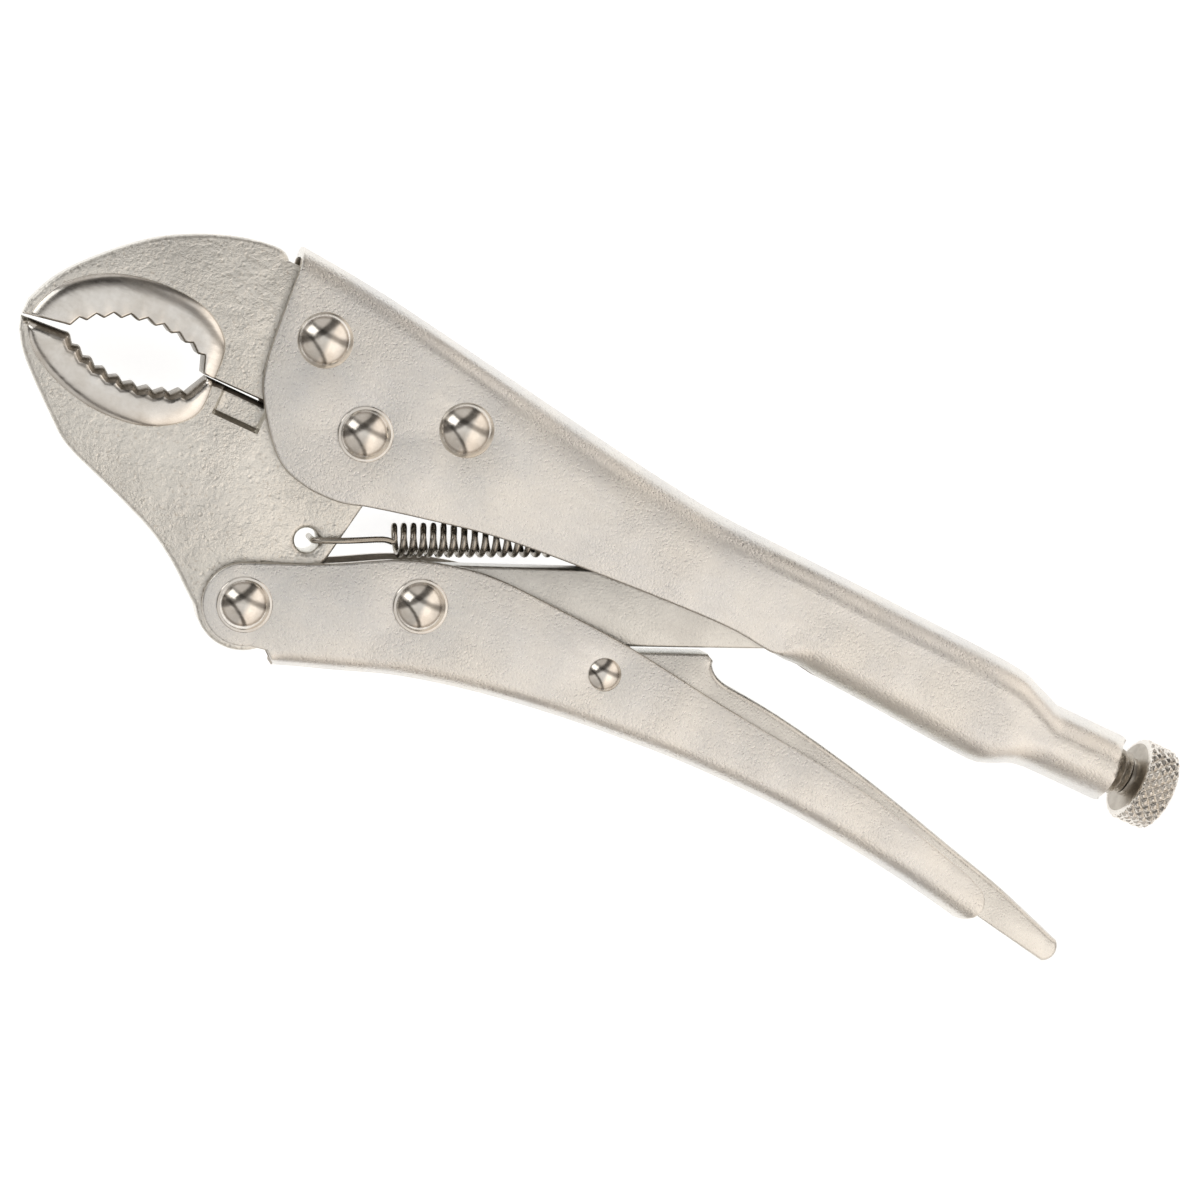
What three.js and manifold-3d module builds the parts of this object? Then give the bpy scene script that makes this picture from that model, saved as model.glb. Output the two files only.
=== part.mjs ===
// Locking pliers with curved jaws, a toggle linkage, a release lever and an adjusting screw.
// Millimetres. The tool lies on its side: X runs along the adjusting screw towards its knob,
// Y points in the plane of the tool towards the spine of the upper handle, Z is the thickness.
// Everything is drawn about the jaw pivot and moved at the end, so that the origin is the
// middle of the underside of the bounding box.
import * as THREE from 'three';
import { mergeVertices } from 'three/addons/utils/BufferGeometryUtils.js';
import Module from 'manifold-3d';

const wasm = await Module();
wasm.setup();

// ---- Driving dimensions ------------------------------------------------------------------

// Sheet metal channels
const sheet = 2.0;
const jawThickness = 10.0;
const sideClearance = 0.2;
const channelInside = jawThickness / 2 + sideClearance;
const channelOutside = channelInside + sheet;
const spineRadius = 3.6;

// Pivots, in the plane of the tool
const jawPivot = point(0, 0);
const handlePivot = point(-7.2, -39.2);
const linkPivot = point(23.8, -25.6);
const leverPivot = point(62.7, -22.8);
const frontRivet = point(-14.5, 12.9);
const rearRivet = point(17.4, 8.9);
const springHole = point(-1.3, -23.2);

// Rivets
const shankRadius = 2.8;
const headRadius = 5.35;
const domeRadius = 4.8;
const domeHeight = 2.4;
const flangeHeight = 0.45;
const leverShankRadius = 1.9;
const leverHeadRadius = 3.3;
const leverDomeHeight = 1.5;
const pinClearance = 0.15;
const seatClearance = 0.15;
const looseClearance = 0.3;

// Jaws
const tipX = -67.6;
const jawBossRadius = 8.6;
const handleBossRadius = 8.1;
const jawEndRadius = 9.2;
const jawEndClearance = 0.9;
const toothCount = 9;
const toothDepth = 0.9;
const mouthFront = -60.0;
const mouthBack = -33.8;
const upperMouthRise = 4.5;
const lowerMouthDrop = 3.7;
const jawGap = 0.5;
const cutterGap = 1.0;
const ringHeight = 0.8;
const ringBevel = 0.6;
const springHoleRadius = 2.35;
const springHoleChamfer = 1.1;
const cutterEnd = -18.4;
const cutterLength = 9.6;
const cutterWidth = 6.4;
const cutterDepth = 1.4;
const cutterSlope = 0.12;

// Upper handle
const handleFront = -25.3;
const spineFlat = [point(-6, 25.6), point(45, 18.4)];
const gripStart = 90.0;
const gripLength = 63.0;
const gripRoll = 10.0;
const gripCornerRadius = 5.8;
const gripLipGap = 2.6;
const tubeLength = 16.5;
const tubeSeam = 0.25;
const tubeStart = gripStart + gripLength;
const tubeEnd = tubeStart + tubeLength;
const gripRolled = gripStart + gripRoll;
const screwAxisY = 2.6;

// Adjusting screw, which fills the tube that the channel is rolled into
const boreClearance = 0.35;
const screwRadius = channelInside - boreClearance;
const tipChamfer = 1.5;
const knobRadius = 8.8;
const knobLength = 7.6;
const knobGap = 5.0;
const knobStart = tubeEnd + knobGap;
const knobFaceInset = 2.2;
const neckStep = 0.75;
const neckRadius = screwRadius - neckStep;
const neckLength = 1.0;
const spigotStep = 1.1;
const spigotRadius = neckRadius - spigotStep;
const spigotLength = 4.5;
const edgeChamfer = 0.7;

// Toggle link
const linkSideClearance = 1.7;
const linkHalf = channelInside - linkSideClearance;
const linkBossRadius = 7.7;
const linkTail = point(88.5, 2.0);
const linkTailRadius = 7.5;
const thrustClearance = 1.9;

// Release lever
const leverSideClearance = 1.0;
const leverHalf = channelInside - leverSideClearance;
const leverSheet = 1.3;
const leverBossRadius = 4.1;
const leverNoseGap = 1.1;
const leverSpineGap = 0.9;
const leverNoseX = 80.8;
const leverTip = point(alongGrip(1.305), -36.3);
const leverTipRadius = 3.0;

// Spring
const wireRadius = 0.65;
const coilRadius = 2.85;
const coilTurns = 17;
const coilStart = 17.0;
const coilLength = 42.0;
const coilOffset = -0.5;
const hookInset = 1.2;
const hookReach = 8.0;
const wireClearance = 0.25;
const loopLength = 6.9;
const springAngle = THREE.MathUtils.degToRad(24.6);
const tabHeight = 6.6;
const tabThickness = 1.6;
const tabHalfWidth = 1.7;

// How finely round shapes are divided
const coarse = 6;
const roundSides = 20;
const bendSteps = 4;
const domeSteps = 5;
const wireSides = 6;
const stepsPerTurn = 9;

// ---- Helpers -----------------------------------------------------------------------------

function point(x, y) {
  return new THREE.Vector2(x, y);
}

// How far back a share of the grip's length lies.
function alongGrip(share) {
  return gripStart + share * gripLength;
}

function toSolid(geometry) {
  const bare = geometry.clone();
  bare.deleteAttribute('normal');
  bare.deleteAttribute('uv');
  const merged = mergeVertices(bare);
  const vertProperties = new Float32Array(merged.attributes.position.array);
  const triVerts = new Uint32Array(merged.index.array);
  return new wasm.Manifold(new wasm.Mesh({ numProp: 3, vertProperties, triVerts }));
}

function toGeometry(solid) {
  const mesh = solid.getMesh();
  const geometry = new THREE.BufferGeometry();
  geometry.setAttribute('position', new THREE.BufferAttribute(mesh.vertProperties, 3));
  geometry.setIndex(new THREE.BufferAttribute(mesh.triVerts, 1));
  geometry.computeVertexNormals();
  return geometry;
}

// An outline extruded to both sides of the middle plane of the tool.
function slab(shape, half, segments = coarse) {
  const geometry = new THREE.ExtrudeGeometry(shape, {
    depth: 2 * half,
    bevelEnabled: false,
    curveSegments: segments,
  });
  geometry.translate(0, 0, -half);
  return toSolid(geometry);
}

function pin(centre, radius, half, sides = roundSides) {
  const geometry = new THREE.CylinderGeometry(radius, radius, 2 * half, sides);
  geometry.rotateX(Math.PI / 2);
  geometry.translate(centre.x, centre.y, 0);
  return toSolid(geometry);
}

function block(centre, size, angle = 0) {
  const geometry = new THREE.BoxGeometry(size.x, size.y, size.z);
  geometry.rotateZ(angle);
  geometry.translate(centre.x, centre.y, centre.z);
  return toSolid(geometry);
}

function cutAll(solid, cutters) {
  return cutters.reduce((rest, cutter) => rest.subtract(cutter), solid);
}

// Points of the arc from start to end whose middle stands off the chord by rise, to its left.
function arcThrough(start, end, rise, count) {
  const chord = end.clone().sub(start);
  const halfChord = chord.length() / 2;
  const radius = (halfChord * halfChord + rise * rise) / (2 * Math.abs(rise));
  const side = Math.sign(rise);
  const normal = point(-chord.y, chord.x).normalize();
  const centre = start.clone().add(end).multiplyScalar(0.5);
  centre.addScaledVector(normal, rise - side * radius);
  const sweep = Math.asin(halfChord / radius);
  const points = [];
  for (let i = 0; i <= count; i += 1) {
    const angle = sweep * ((2 * i) / count - 1);
    const along = chord.clone().normalize().multiplyScalar(radius * Math.sin(angle));
    const out = normal.clone().multiplyScalar(side * radius * Math.cos(angle));
    points.push(centre.clone().add(along).add(out));
  }
  return points;
}

// A row of pointed teeth along such an arc: the roots lie on it, the crests stand inside it.
function toothedArc(start, end, rise) {
  const roots = arcThrough(start, end, rise, 2 * toothCount);
  const chord = end.clone().sub(start);
  const inward = point(-chord.y, chord.x).normalize().multiplyScalar(-Math.sign(rise) * toothDepth);
  return roots.map((root, i) => (i % 2 === 1 ? root.clone().add(inward) : root));
}

// A height that runs smoothly through the given points.
function heightAlong(points) {
  const samples = new THREE.SplineCurve(points).getPoints(20 * points.length);
  return (x) => {
    const next = samples.findIndex((sample) => sample.x >= x);
    if (next === 0) return samples[0].y;
    if (next < 0) return samples[samples.length - 1].y;
    const a = samples[next - 1];
    const b = samples[next];
    return THREE.MathUtils.mapLinear(x, a.x, b.x, a.y, b.y);
  };
}

function lineThrough(a, b) {
  return (x) => THREE.MathUtils.mapLinear(x, a.x, b.x, a.y, b.y);
}

function mix(x, start, end, from, to) {
  const t = THREE.MathUtils.clamp((x - start) / (end - start), 0, 1);
  return THREE.MathUtils.lerp(from, to, t);
}

// One half of a bent sheet section, from the middle of the spine to the edge of the plate.
// Each point is [z, y]; inset moves it into the sheet from its outer face.
function halfSection(form, inset) {
  const points = [];
  const half = form.half - inset;
  const top = form.top - inset;
  const radius = form.spineRadius - inset;
  points.push([0, top]);
  for (let i = 0; i <= bendSteps; i += 1) {
    const angle = (i / bendSteps) * (Math.PI / 2);
    points.push([half - radius + radius * Math.sin(angle), top - radius + radius * Math.cos(angle)]);
  }
  const rollRadius = form.rollLength / form.roll;
  const centreZ = form.half - rollRadius;
  for (let i = 0; i <= bendSteps; i += 1) {
    const angle = (i / bendSteps) * form.roll;
    const reach = rollRadius - inset;
    points.push([centreZ + reach * Math.cos(angle), form.sideEnd - reach * Math.sin(angle)]);
  }
  const last = points[points.length - 1];
  points.push([
    last[0] - form.lip * Math.sin(form.roll),
    last[1] - form.lip * Math.cos(form.roll),
  ]);
  return points;
}

// The closed outline of a bent sheet section, with its spine at +Y or, upside down, at -Y.
function sheetSection(form, upsideDown) {
  const outer = halfSection(form, 0);
  const inner = halfSection(form, sheet);
  const mirror = (points) => points.slice(1).map(([z, y]) => [-z, y]);
  const loop = [
    ...mirror(outer).reverse(),
    ...outer,
    ...inner.slice().reverse(),
    ...mirror(inner),
  ];
  return upsideDown ? loop.map(([z, y]) => [z, -y]).reverse() : loop;
}

// A closed skin over sections that follow each other along X.
function loft(stations) {
  const contours = stations.map(({ loop }) => clockwise(loop.map(([z, y]) => point(z, y))));
  const count = contours[0].length;
  const positions = [];
  const faces = [];
  contours.forEach((contour, s) => contour.forEach((p) => positions.push(stations[s].x, p.y, p.x)));
  for (let s = 0; s + 1 < stations.length; s += 1) {
    for (let i = 0; i < count; i += 1) {
      const j = (i + 1) % count;
      const a = s * count;
      const b = a + count;
      faces.push(a + i, a + j, b + j, a + i, b + j, b + i);
    }
  }
  const last = contours.length - 1;
  THREE.ShapeUtils.triangulateShape(contours[0], []).forEach(([a, b, c]) => faces.push(a, b, c));
  THREE.ShapeUtils.triangulateShape(contours[last], []).forEach(([a, b, c]) => {
    faces.push(last * count + a, last * count + c, last * count + b);
  });
  const geometry = new THREE.BufferGeometry();
  geometry.setAttribute('position', new THREE.Float32BufferAttribute(positions, 3));
  geometry.setIndex(faces);
  return toSolid(geometry);
}

function clockwise(contour) {
  return THREE.ShapeUtils.isClockWise(contour) ? contour : contour.reverse();
}

// A turned piece whose axis is X, from a profile of [x, radius] points.
function turned(profile, sides = roundSides) {
  const geometry = new THREE.LatheGeometry(profile.map(([x, r]) => point(r, x)), sides);
  geometry.rotateZ(-Math.PI / 2);
  return toSolid(geometry);
}

// ---- Upper handle ------------------------------------------------------------------------

const tubeTop = screwAxisY + channelOutside;
const tubeBottom = screwAxisY - channelOutside;
const spineLine = lineThrough(...spineFlat);
const noseTop = heightAlong([point(-30, 27.6), point(-16, 26.6), spineFlat[0]]);
const gripTop = heightAlong([
  spineFlat[1],
  point(58, 16.7),
  point(72, 15.3),
  point(gripStart, 14.8),
  point(alongGrip(0.35), 14.3),
  point(alongGrip(0.79), 13.4),
  point(alongGrip(0.92), 11.6),
  point(tubeStart, tubeTop),
]);
const gripBottom = heightAlong([
  point(gripRolled, -5.7),
  point(alongGrip(0.45), -6.7),
  point(alongGrip(0.78), -8.0),
  point(alongGrip(0.865), -7.0),
  point(alongGrip(0.935), -5.2),
  point(tubeStart, tubeBottom),
]);
const plateEdge = heightAlong([
  point(5.4, -12.7),
  point(16.4, -10.2),
  point(33.3, -7.1),
  point(57.3, -5.2),
  point(80, -4.2),
  point(gripStart, -5.0),
]);
const plateFoot = -18.0;
const plateFootEnd = 6.0;
const shoulderStart = alongGrip(0.86);
const flat = 0.002;
const edgeRadius = 1.5;

function upperSpine(x) {
  if (x < spineFlat[0].x) return noseTop(x);
  if (x <= spineFlat[1].x) return spineLine(x);
  return x < tubeStart ? gripTop(x) : tubeTop;
}

function upperForm(x) {
  const rolled = Math.PI / 2;
  const edge = x < plateFootEnd ? plateFoot : plateEdge(x);
  const bottom = x < tubeStart ? gripBottom(x) : tubeBottom;
  const corner = mix(x, shoulderStart, tubeStart, gripCornerRadius, channelOutside - 2 * tubeSeam);
  const lipGap = mix(x, shoulderStart, tubeStart, gripLipGap, tubeSeam);
  return {
    half: channelOutside,
    top: upperSpine(x),
    spineRadius: x < shoulderStart ? mix(x, 60, 110, spineRadius, gripCornerRadius) : corner,
    roll: mix(x, gripStart, gripRolled, flat, rolled),
    rollLength: mix(x, gripStart, gripRolled, edgeRadius, corner * rolled),
    sideEnd: mix(x, gripStart, gripRolled, edge + sheet, bottom + corner),
    lip: mix(x, gripStart, gripRolled, sheet - edgeRadius, channelOutside - corner - lipGap),
  };
}

function upperHandle() {
  const nose = [handleFront - 2, -16, spineFlat[0].x];
  const plate = [plateFootEnd - 0.1, plateFootEnd, 20, 34, spineFlat[1].x, 54, 66, 78];
  const roll = [0, 0.25, 0.5, 0.75, 1].map((share) => gripStart + share * gripRoll);
  const grip = [0.35, 0.57, 0.76, 0.82, 0.86, 0.92, 0.96, 1].map(alongGrip);
  const xs = [...nose, ...plate, ...roll, ...grip, tubeEnd];
  const body = loft(xs.map((x) => ({ x, loop: sheetSection(upperForm(x), false) })));
  // What the curved front edge of the two plates leaves away.
  const away = new THREE.Shape();
  const above = upperSpine(handleFront) + 5;
  const below = plateFoot - 5;
  away.moveTo(handleFront, above);
  away.lineTo(handleFront + 0.9, 22);
  away.splineThru([point(-22.9, 5.2), point(-20.3, -2.3), point(-13.3, -11.0), point(-6.8, -13.8),
    point(0.6, -14.0), point(plateFootEnd, plateEdge(plateFootEnd))]);
  away.lineTo(plateFootEnd, below);
  away.lineTo(handleFront - 10, below);
  away.lineTo(handleFront - 10, above);
  const holes = [jawPivot, frontRivet, rearRivet].map((centre) =>
    pin(centre, shankRadius + pinClearance, 2 * channelOutside));
  const trimmed = cutAll(body, [slab(away, 2 * channelOutside), ...holes]);
  return trimmed.subtract(tabWindow()).add(springTab());
}

// The spring hangs on a tab that is pushed in from the spine and leaves a window behind it.
const springDirection = point(Math.cos(springAngle), Math.sin(springAngle));
const tabReach = coilStart + coilLength + loopLength / 2 - wireClearance;
const springRear = springHole.clone().addScaledVector(springDirection, tabReach);

function tabWindow() {
  const length = tabHeight - sheet;
  const centre = new THREE.Vector3(springRear.x + tabThickness + length / 2, upperSpine(springRear.x), 0);
  return block(centre, new THREE.Vector3(length, 3 * sheet, 2 * tabHalfWidth));
}

function springTab() {
  const top = upperSpine(springRear.x) - sheet / 2;
  const centre = new THREE.Vector3(springRear.x + tabThickness / 2, top - tabHeight / 2, 0);
  return block(centre, new THREE.Vector3(tabThickness, tabHeight, 2 * tabHalfWidth));
}

// ---- Jaws --------------------------------------------------------------------------------

const partingFront = -6.7;
const partingBack = -2.4;
const ringEdge = [point(-66.2, -6.2), point(-63.6, 1.0), point(-56.5, 6.8), point(-46.5, 9.4),
  point(-36.8, 8.6), point(-31.2, 4.4), point(-30.1, -2.8), point(-30.4, -10.4), point(-37.5, -16.0),
  point(-48.5, -17.4), point(-59.0, -14.6), point(-64.6, -10.6)];

// The polished rim that stands above both faces of a jaw around the mouth.
function mouthRim(outline) {
  const edge = new THREE.CatmullRomCurve3(ringEdge.map((p) => new THREE.Vector3(p.x, p.y, 0)), true);
  const oval = new THREE.Shape(edge.getPoints(4 * ringEdge.length).slice(1).map((p) => point(p.x, p.y)));
  const half = jawThickness / 2 + ringHeight;
  const geometry = new THREE.ExtrudeGeometry(oval, {
    depth: 2 * (half - ringBevel),
    bevelThickness: ringBevel,
    bevelSize: ringBevel,
    bevelOffset: -ringBevel,
    bevelSegments: 2,
  });
  geometry.translate(0, 0, -(half - ringBevel));
  return toSolid(geometry).intersect(slab(outline, 2 * half));
}

function fixedJawOutline() {
  const teeth = toothedArc(point(mouthFront, -5.2), point(mouthBack, 0.6), upperMouthRise);
  const relief = jawBossRadius + jawEndClearance;
  const reliefStart = Math.PI + Math.asin(-partingBack / relief);
  const rearEnd = rearRivet.x + 7.5;
  // The top stops where the sheet starts to bend.
  const inside = (x) => upperSpine(x) - spineRadius;
  const shape = new THREE.Shape();
  shape.moveTo(tipX, partingFront);
  teeth.forEach((tooth) => shape.lineTo(tooth.x, tooth.y));
  shape.lineTo(-32.6, partingBack - 0.3);
  shape.lineTo(-relief, partingBack);
  shape.absarc(jawPivot.x, jawPivot.y, relief, reliefStart, 0.35, true);
  shape.lineTo(rearEnd, rearRivet.y - 6.5);
  shape.lineTo(rearEnd, inside(rearEnd));
  shape.lineTo(spineFlat[0].x, inside(spineFlat[0].x));
  shape.lineTo(handleFront + 1.5, inside(handleFront + 1.5));
  shape.lineTo(handleFront - 1.4, 23.6);
  shape.splineThru([point(-29.2, 25.0), point(-36, 24.0), point(-44, 21.0), point(-52, 16.2),
    point(-60, 8.6), point(-65, 2.2), point(tipX, -3.7)]);
  return shape;
}

function fixedJaw() {
  const outline = fixedJawOutline();
  const body = slab(outline, jawThickness / 2).add(mouthRim(outline));
  const holes = [frontRivet, rearRivet].map((centre) =>
    pin(centre, shankRadius + pinClearance, jawThickness));
  return cutAll(body, holes);
}

function lowerJawOutline() {
  const teeth = toothedArc(point(mouthFront + 0.6, -6.6), point(mouthBack, -7.4), -lowerMouthDrop);
  const gapLine = partingBack - cutterGap;
  const bossMeet = Math.sqrt(jawBossRadius * jawBossRadius - gapLine * gapLine);
  const shape = new THREE.Shape();
  shape.moveTo(tipX, partingFront - jawGap);
  teeth.forEach((tooth) => shape.lineTo(tooth.x, tooth.y));
  shape.lineTo(-31.6, gapLine);
  shape.lineTo(-bossMeet, gapLine);
  shape.absarc(jawPivot.x, jawPivot.y, jawBossRadius, Math.atan2(gapLine, -bossMeet), -0.5, true);
  shape.lineTo(5.8, -12.8);
  shape.lineTo(3.8, -24.5);
  shape.lineTo(handlePivot.x + jawEndRadius, handlePivot.y + 6);
  shape.absarc(handlePivot.x, handlePivot.y, jawEndRadius, 0, -2.62, true);
  shape.splineThru([point(-17.6, -41.9), point(-22.4, -38.0), point(-28.8, -34.0), point(-38.2, -30.1),
    point(-49.5, -25.9), point(-54.9, -22.0), point(-63.6, -14.2), point(-66.8, -9.8)]);
  return shape;
}

// The bevelled pocket beside the wire cutter, one in each face of the lower jaw.
function cutterPockets() {
  const x = cutterEnd - cutterLength / 2;
  const spare = 2;
  return [1, -1].map((side) => {
    const geometry = new THREE.BoxGeometry(cutterLength, cutterWidth + spare, 2 * spare);
    geometry.rotateX(side * cutterSlope);
    const z = jawThickness / 2 + spare - cutterDepth;
    geometry.translate(x, partingBack - (cutterWidth - spare) / 2, side * z);
    return toSolid(geometry);
  });
}

function lowerJaw() {
  const outline = lowerJawOutline();
  const body = slab(outline, jawThickness / 2).add(mouthRim(outline));
  const holes = [jawPivot, handlePivot].map((centre) =>
    pin(centre, shankRadius + pinClearance, jawThickness));
  return cutAll(body, [...holes, ...cutterPockets(), springEyelet()]);
}

// The spring's hole, opened out at both faces.
function springEyelet() {
  const face = jawThickness / 2;
  const wide = springHoleRadius + springHoleChamfer;
  const waist = face - springHoleChamfer;
  const eyelet = turned([[-face - 1, 0], [-face - 1, wide], [-face, wide], [-waist, springHoleRadius],
    [waist, springHoleRadius], [face, wide], [face + 1, wide], [face + 1, 0]]);
  return eyelet.rotate([0, 90, 0]).translate([springHole.x, springHole.y, 0]);
}

// ---- Lower handle ------------------------------------------------------------------------

const lowerSpine = heightAlong([
  point(-17, -55.5),
  point(3, -47.8),
  point(14, -44.0),
  point(26, -39.9),
  point(40, -36.8),
  point(56, -34.5),
  point(72, -33.1),
  point(gripStart, -32.3),
  point(alongGrip(0.35), -32.9),
  point(alongGrip(0.73), -35.6),
  point(alongGrip(1.06), -39.2),
]);
const lowerTop = [point(3.9, -25.6), point(15.7, -19.4), point(25, -16.2), point(34.6, -14.6),
  point(49, -14.9), point(65.3, -15.9), point(88.3, -18.8), point(alongGrip(0.41), -21.7),
  point(alongGrip(0.65), -24.4), point(alongGrip(0.95), -29.2)];
const handleTip = point(alongGrip(0.973), -34.2);
const handleTipRadius = 4.1;

function lowerHandleOutline() {
  const shape = new THREE.Shape();
  shape.absarc(handlePivot.x, handlePivot.y, handleBossRadius, -1.0, 2.0, true);
  shape.splineThru(lowerTop);
  shape.absarc(handleTip.x, handleTip.y, handleTipRadius, 1.2, -1.35, true);
  const below = lowerSpine(0) - 6;
  const spineStart = 2.7;
  shape.lineTo(handleTip.x, below);
  shape.lineTo(spineStart, below);
  shape.lineTo(spineStart, lowerSpine(spineStart) + 0.5);
  shape.lineTo(0.4, -45.5);
  return shape;
}

// Its plates are drawn too tall here and cut to the outline afterwards.
function lowerForm(x) {
  return {
    half: channelOutside,
    top: -lowerSpine(x),
    spineRadius: mix(x, gripStart, tubeStart, spineRadius, spineRadius + 0.6),
    roll: flat,
    rollLength: edgeRadius,
    sideEnd: 12,
    lip: sheet - edgeRadius,
  };
}

function lowerHandle() {
  const front = [-17, 3, 14, 24, 34, 44, 56, 68, 80, gripStart];
  const rear = [0.2, 0.4, 0.7, 1.05].map(alongGrip);
  const xs = [...front, ...rear];
  const body = loft(xs.map((x) => ({ x, loop: sheetSection(lowerForm(x), true) })));
  const plates = body.intersect(slab(lowerHandleOutline(), 2 * channelOutside));
  const swing = pin(handlePivot, jawEndRadius + jawEndClearance, channelInside);
  const holes = [handlePivot, linkPivot].map((centre) =>
    pin(centre, shankRadius + pinClearance, 2 * channelOutside));
  const leverHole = pin(leverPivot, leverShankRadius + pinClearance, 2 * channelOutside);
  return cutAll(plates, [swing, ...holes, leverHole]);
}

// ---- Toggle link -------------------------------------------------------------------------

const linkAngle = Math.atan2(linkTail.y - linkPivot.y, linkTail.x - linkPivot.x);

function linkOutline() {
  const shape = new THREE.Shape();
  const up = linkAngle + Math.PI / 2;
  const down = linkAngle - Math.PI / 2;
  shape.absarc(linkPivot.x, linkPivot.y, linkBossRadius, up, down + 2 * Math.PI, false);
  shape.absarc(linkTail.x, linkTail.y, linkTailRadius, down, up, false);
  return shape;
}

function toggleLink() {
  const body = slab(linkOutline(), linkHalf, 2 * coarse);
  return body.subtract(pin(linkPivot, shankRadius + pinClearance, 2 * linkHalf));
}

// ---- Release lever -----------------------------------------------------------------------

function leverOutline() {
  const noseTop = linkUnderside(leverNoseX) - leverNoseGap;
  const floor = (x) => lowerSpine(x) + sheet + leverSpineGap;
  const shape = new THREE.Shape();
  shape.absarc(leverPivot.x, leverPivot.y, leverBossRadius, linkAngle + Math.PI / 2, Math.PI * 1.5, false);
  for (let share = -0.1; share < 1.06; share += 0.1) {
    shape.lineTo(alongGrip(share), floor(alongGrip(share)));
  }
  shape.absarc(leverTip.x, leverTip.y, leverTipRadius, -1.3, 0.9, false);
  shape.splineThru([point(alongGrip(1.08), -28.9), point(alongGrip(0.89), -25.9),
    point(alongGrip(0.7), -22.9), point(alongGrip(0.51), -20.1), point(alongGrip(0.32), -17.7),
    point(alongGrip(0.13), -15.8), point(leverNoseX + 7.6, -14.9)]);
  shape.quadraticCurveTo(leverNoseX + 2.6, -14.6, leverNoseX + 1.6, noseTop - 0.8);
  shape.lineTo(leverNoseX, noseTop);
  return shape;
}

function linkUnderside(x) {
  const slope = Math.tan(linkAngle);
  const offset = Math.max(linkBossRadius, linkTailRadius) / Math.cos(linkAngle);
  return linkPivot.y + (x - linkPivot.x) * slope - offset;
}

function releaseLever() {
  const outline = leverOutline();
  const body = slab(outline, leverHalf);
  const hollow = slab(outline, leverHalf - leverSheet).translate([0, -leverSheet, 0]);
  const boss = pin(leverPivot, leverBossRadius, leverHalf);
  const hole = pin(leverPivot, leverShankRadius + pinClearance, 2 * leverHalf);
  return body.subtract(hollow).add(boss).subtract(hole);
}

// ---- Adjusting screw ---------------------------------------------------------------------

const screwTip = linkTail.x + linkTailRadius + thrustClearance;

function adjustingScrew() {
  const end = knobStart - neckLength - looseClearance;
  return turned([[screwTip, 0], [screwTip, screwRadius - tipChamfer], [screwTip + tipChamfer, screwRadius],
    [end - edgeChamfer, screwRadius], [end, neckRadius], [end, spigotRadius],
    [end + spigotLength, spigotRadius], [end + spigotLength, 0]]).translate([0, screwAxisY, 0]);
}

function screwKnob() {
  const start = knobStart - neckLength;
  const bore = spigotRadius + pinClearance;
  const boreEnd = start + spigotLength + looseClearance;
  const end = knobStart + knobLength;
  return turned([[start, bore], [start, neckRadius], [knobStart, neckRadius],
    [knobStart, knobRadius - edgeChamfer], [knobStart + edgeChamfer, knobRadius],
    [end - 2 * edgeChamfer, knobRadius], [end - 0.4 * edgeChamfer, knobRadius - edgeChamfer],
    [end, knobRadius - knobFaceInset], [end, 0], [boreEnd, 0], [boreEnd, bore],
    [start, bore]]).translate([0, screwAxisY, 0]);
}

// ---- Rivets ------------------------------------------------------------------------------

// Half a head, from its seat to the crown, as [height above the seat, radius].
function headProfile(head, dome, flange, height) {
  const points = [[0, head]];
  if (flange > 0) points.push([flange, head]);
  const sphere = (dome * dome + height * height) / (2 * height);
  const sweep = Math.asin(dome / sphere);
  for (let i = 0; i <= domeSteps; i += 1) {
    const angle = sweep * (1 - i / domeSteps);
    points.push([flange + sphere * Math.cos(angle) - sphere + height, sphere * Math.sin(angle)]);
  }
  return points;
}

function rivet(centre, shank, head, dome, flange, height) {
  const seat = channelOutside + seatClearance;
  const crown = headProfile(head, dome, flange, height);
  const upper = crown.map(([h, r]) => [seat + h, r]);
  const lower = crown.map(([h, r]) => [-seat - h, r]).reverse();
  const profile = [...lower, [-seat, shank], [seat, shank], ...upper];
  return turned(profile).rotate([0, -90, 0]).translate([centre.x, centre.y, 0]);
}

const pivotHead = [shankRadius, headRadius, domeRadius, flangeHeight, domeHeight];
const jawHead = [shankRadius, headRadius, headRadius, 0, domeHeight + flangeHeight];
const leverHead = [leverShankRadius, leverHeadRadius, leverHeadRadius, 0, leverDomeHeight];

// ---- Spring ------------------------------------------------------------------------------

// The wire runs up through the jaw's hole, along its face to the coil, and round the tab.
function springPath() {
  const across = point(-springDirection.y, springDirection.x);
  const face = jawThickness / 2 + wireRadius + wireClearance;
  const place = (along, side, z) => {
    const p = springHole.clone().addScaledVector(springDirection, along).addScaledVector(across, side);
    return new THREE.Vector3(p.x, p.y, z);
  };
  const points = [
    place(hookInset, 0, -face + 2.2),
    place(hookInset, 0, 0),
    place(hookInset, 0, face - 1.6),
    place(hookInset + 0.8, 0, face - 0.35),
    place(hookInset + 2.4, 0, face),
    place(hookReach, 0, face),
    place(coilStart - 2.2, 0, coilRadius + wireRadius),
  ];
  for (let i = 0; i <= coilTurns * stepsPerTurn; i += 1) {
    const turn = i / stepsPerTurn;
    const angle = 2 * Math.PI * turn;
    const along = coilStart + (turn / coilTurns) * coilLength;
    points.push(place(along, coilOffset + coilRadius * Math.sin(angle), coilRadius * Math.cos(angle)));
  }
  const rear = coilStart + coilLength;
  points.push(place(rear + 0.2 * loopLength, 0.3, coilRadius));
  points.push(place(rear + 0.72 * loopLength, 1.4, coilRadius));
  points.push(place(rear + loopLength, 2.2, 0));
  points.push(place(rear + 0.72 * loopLength, 1.4, -coilRadius));
  return new THREE.CatmullRomCurve3(points, false, 'catmullrom', 0.4);
}

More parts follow.
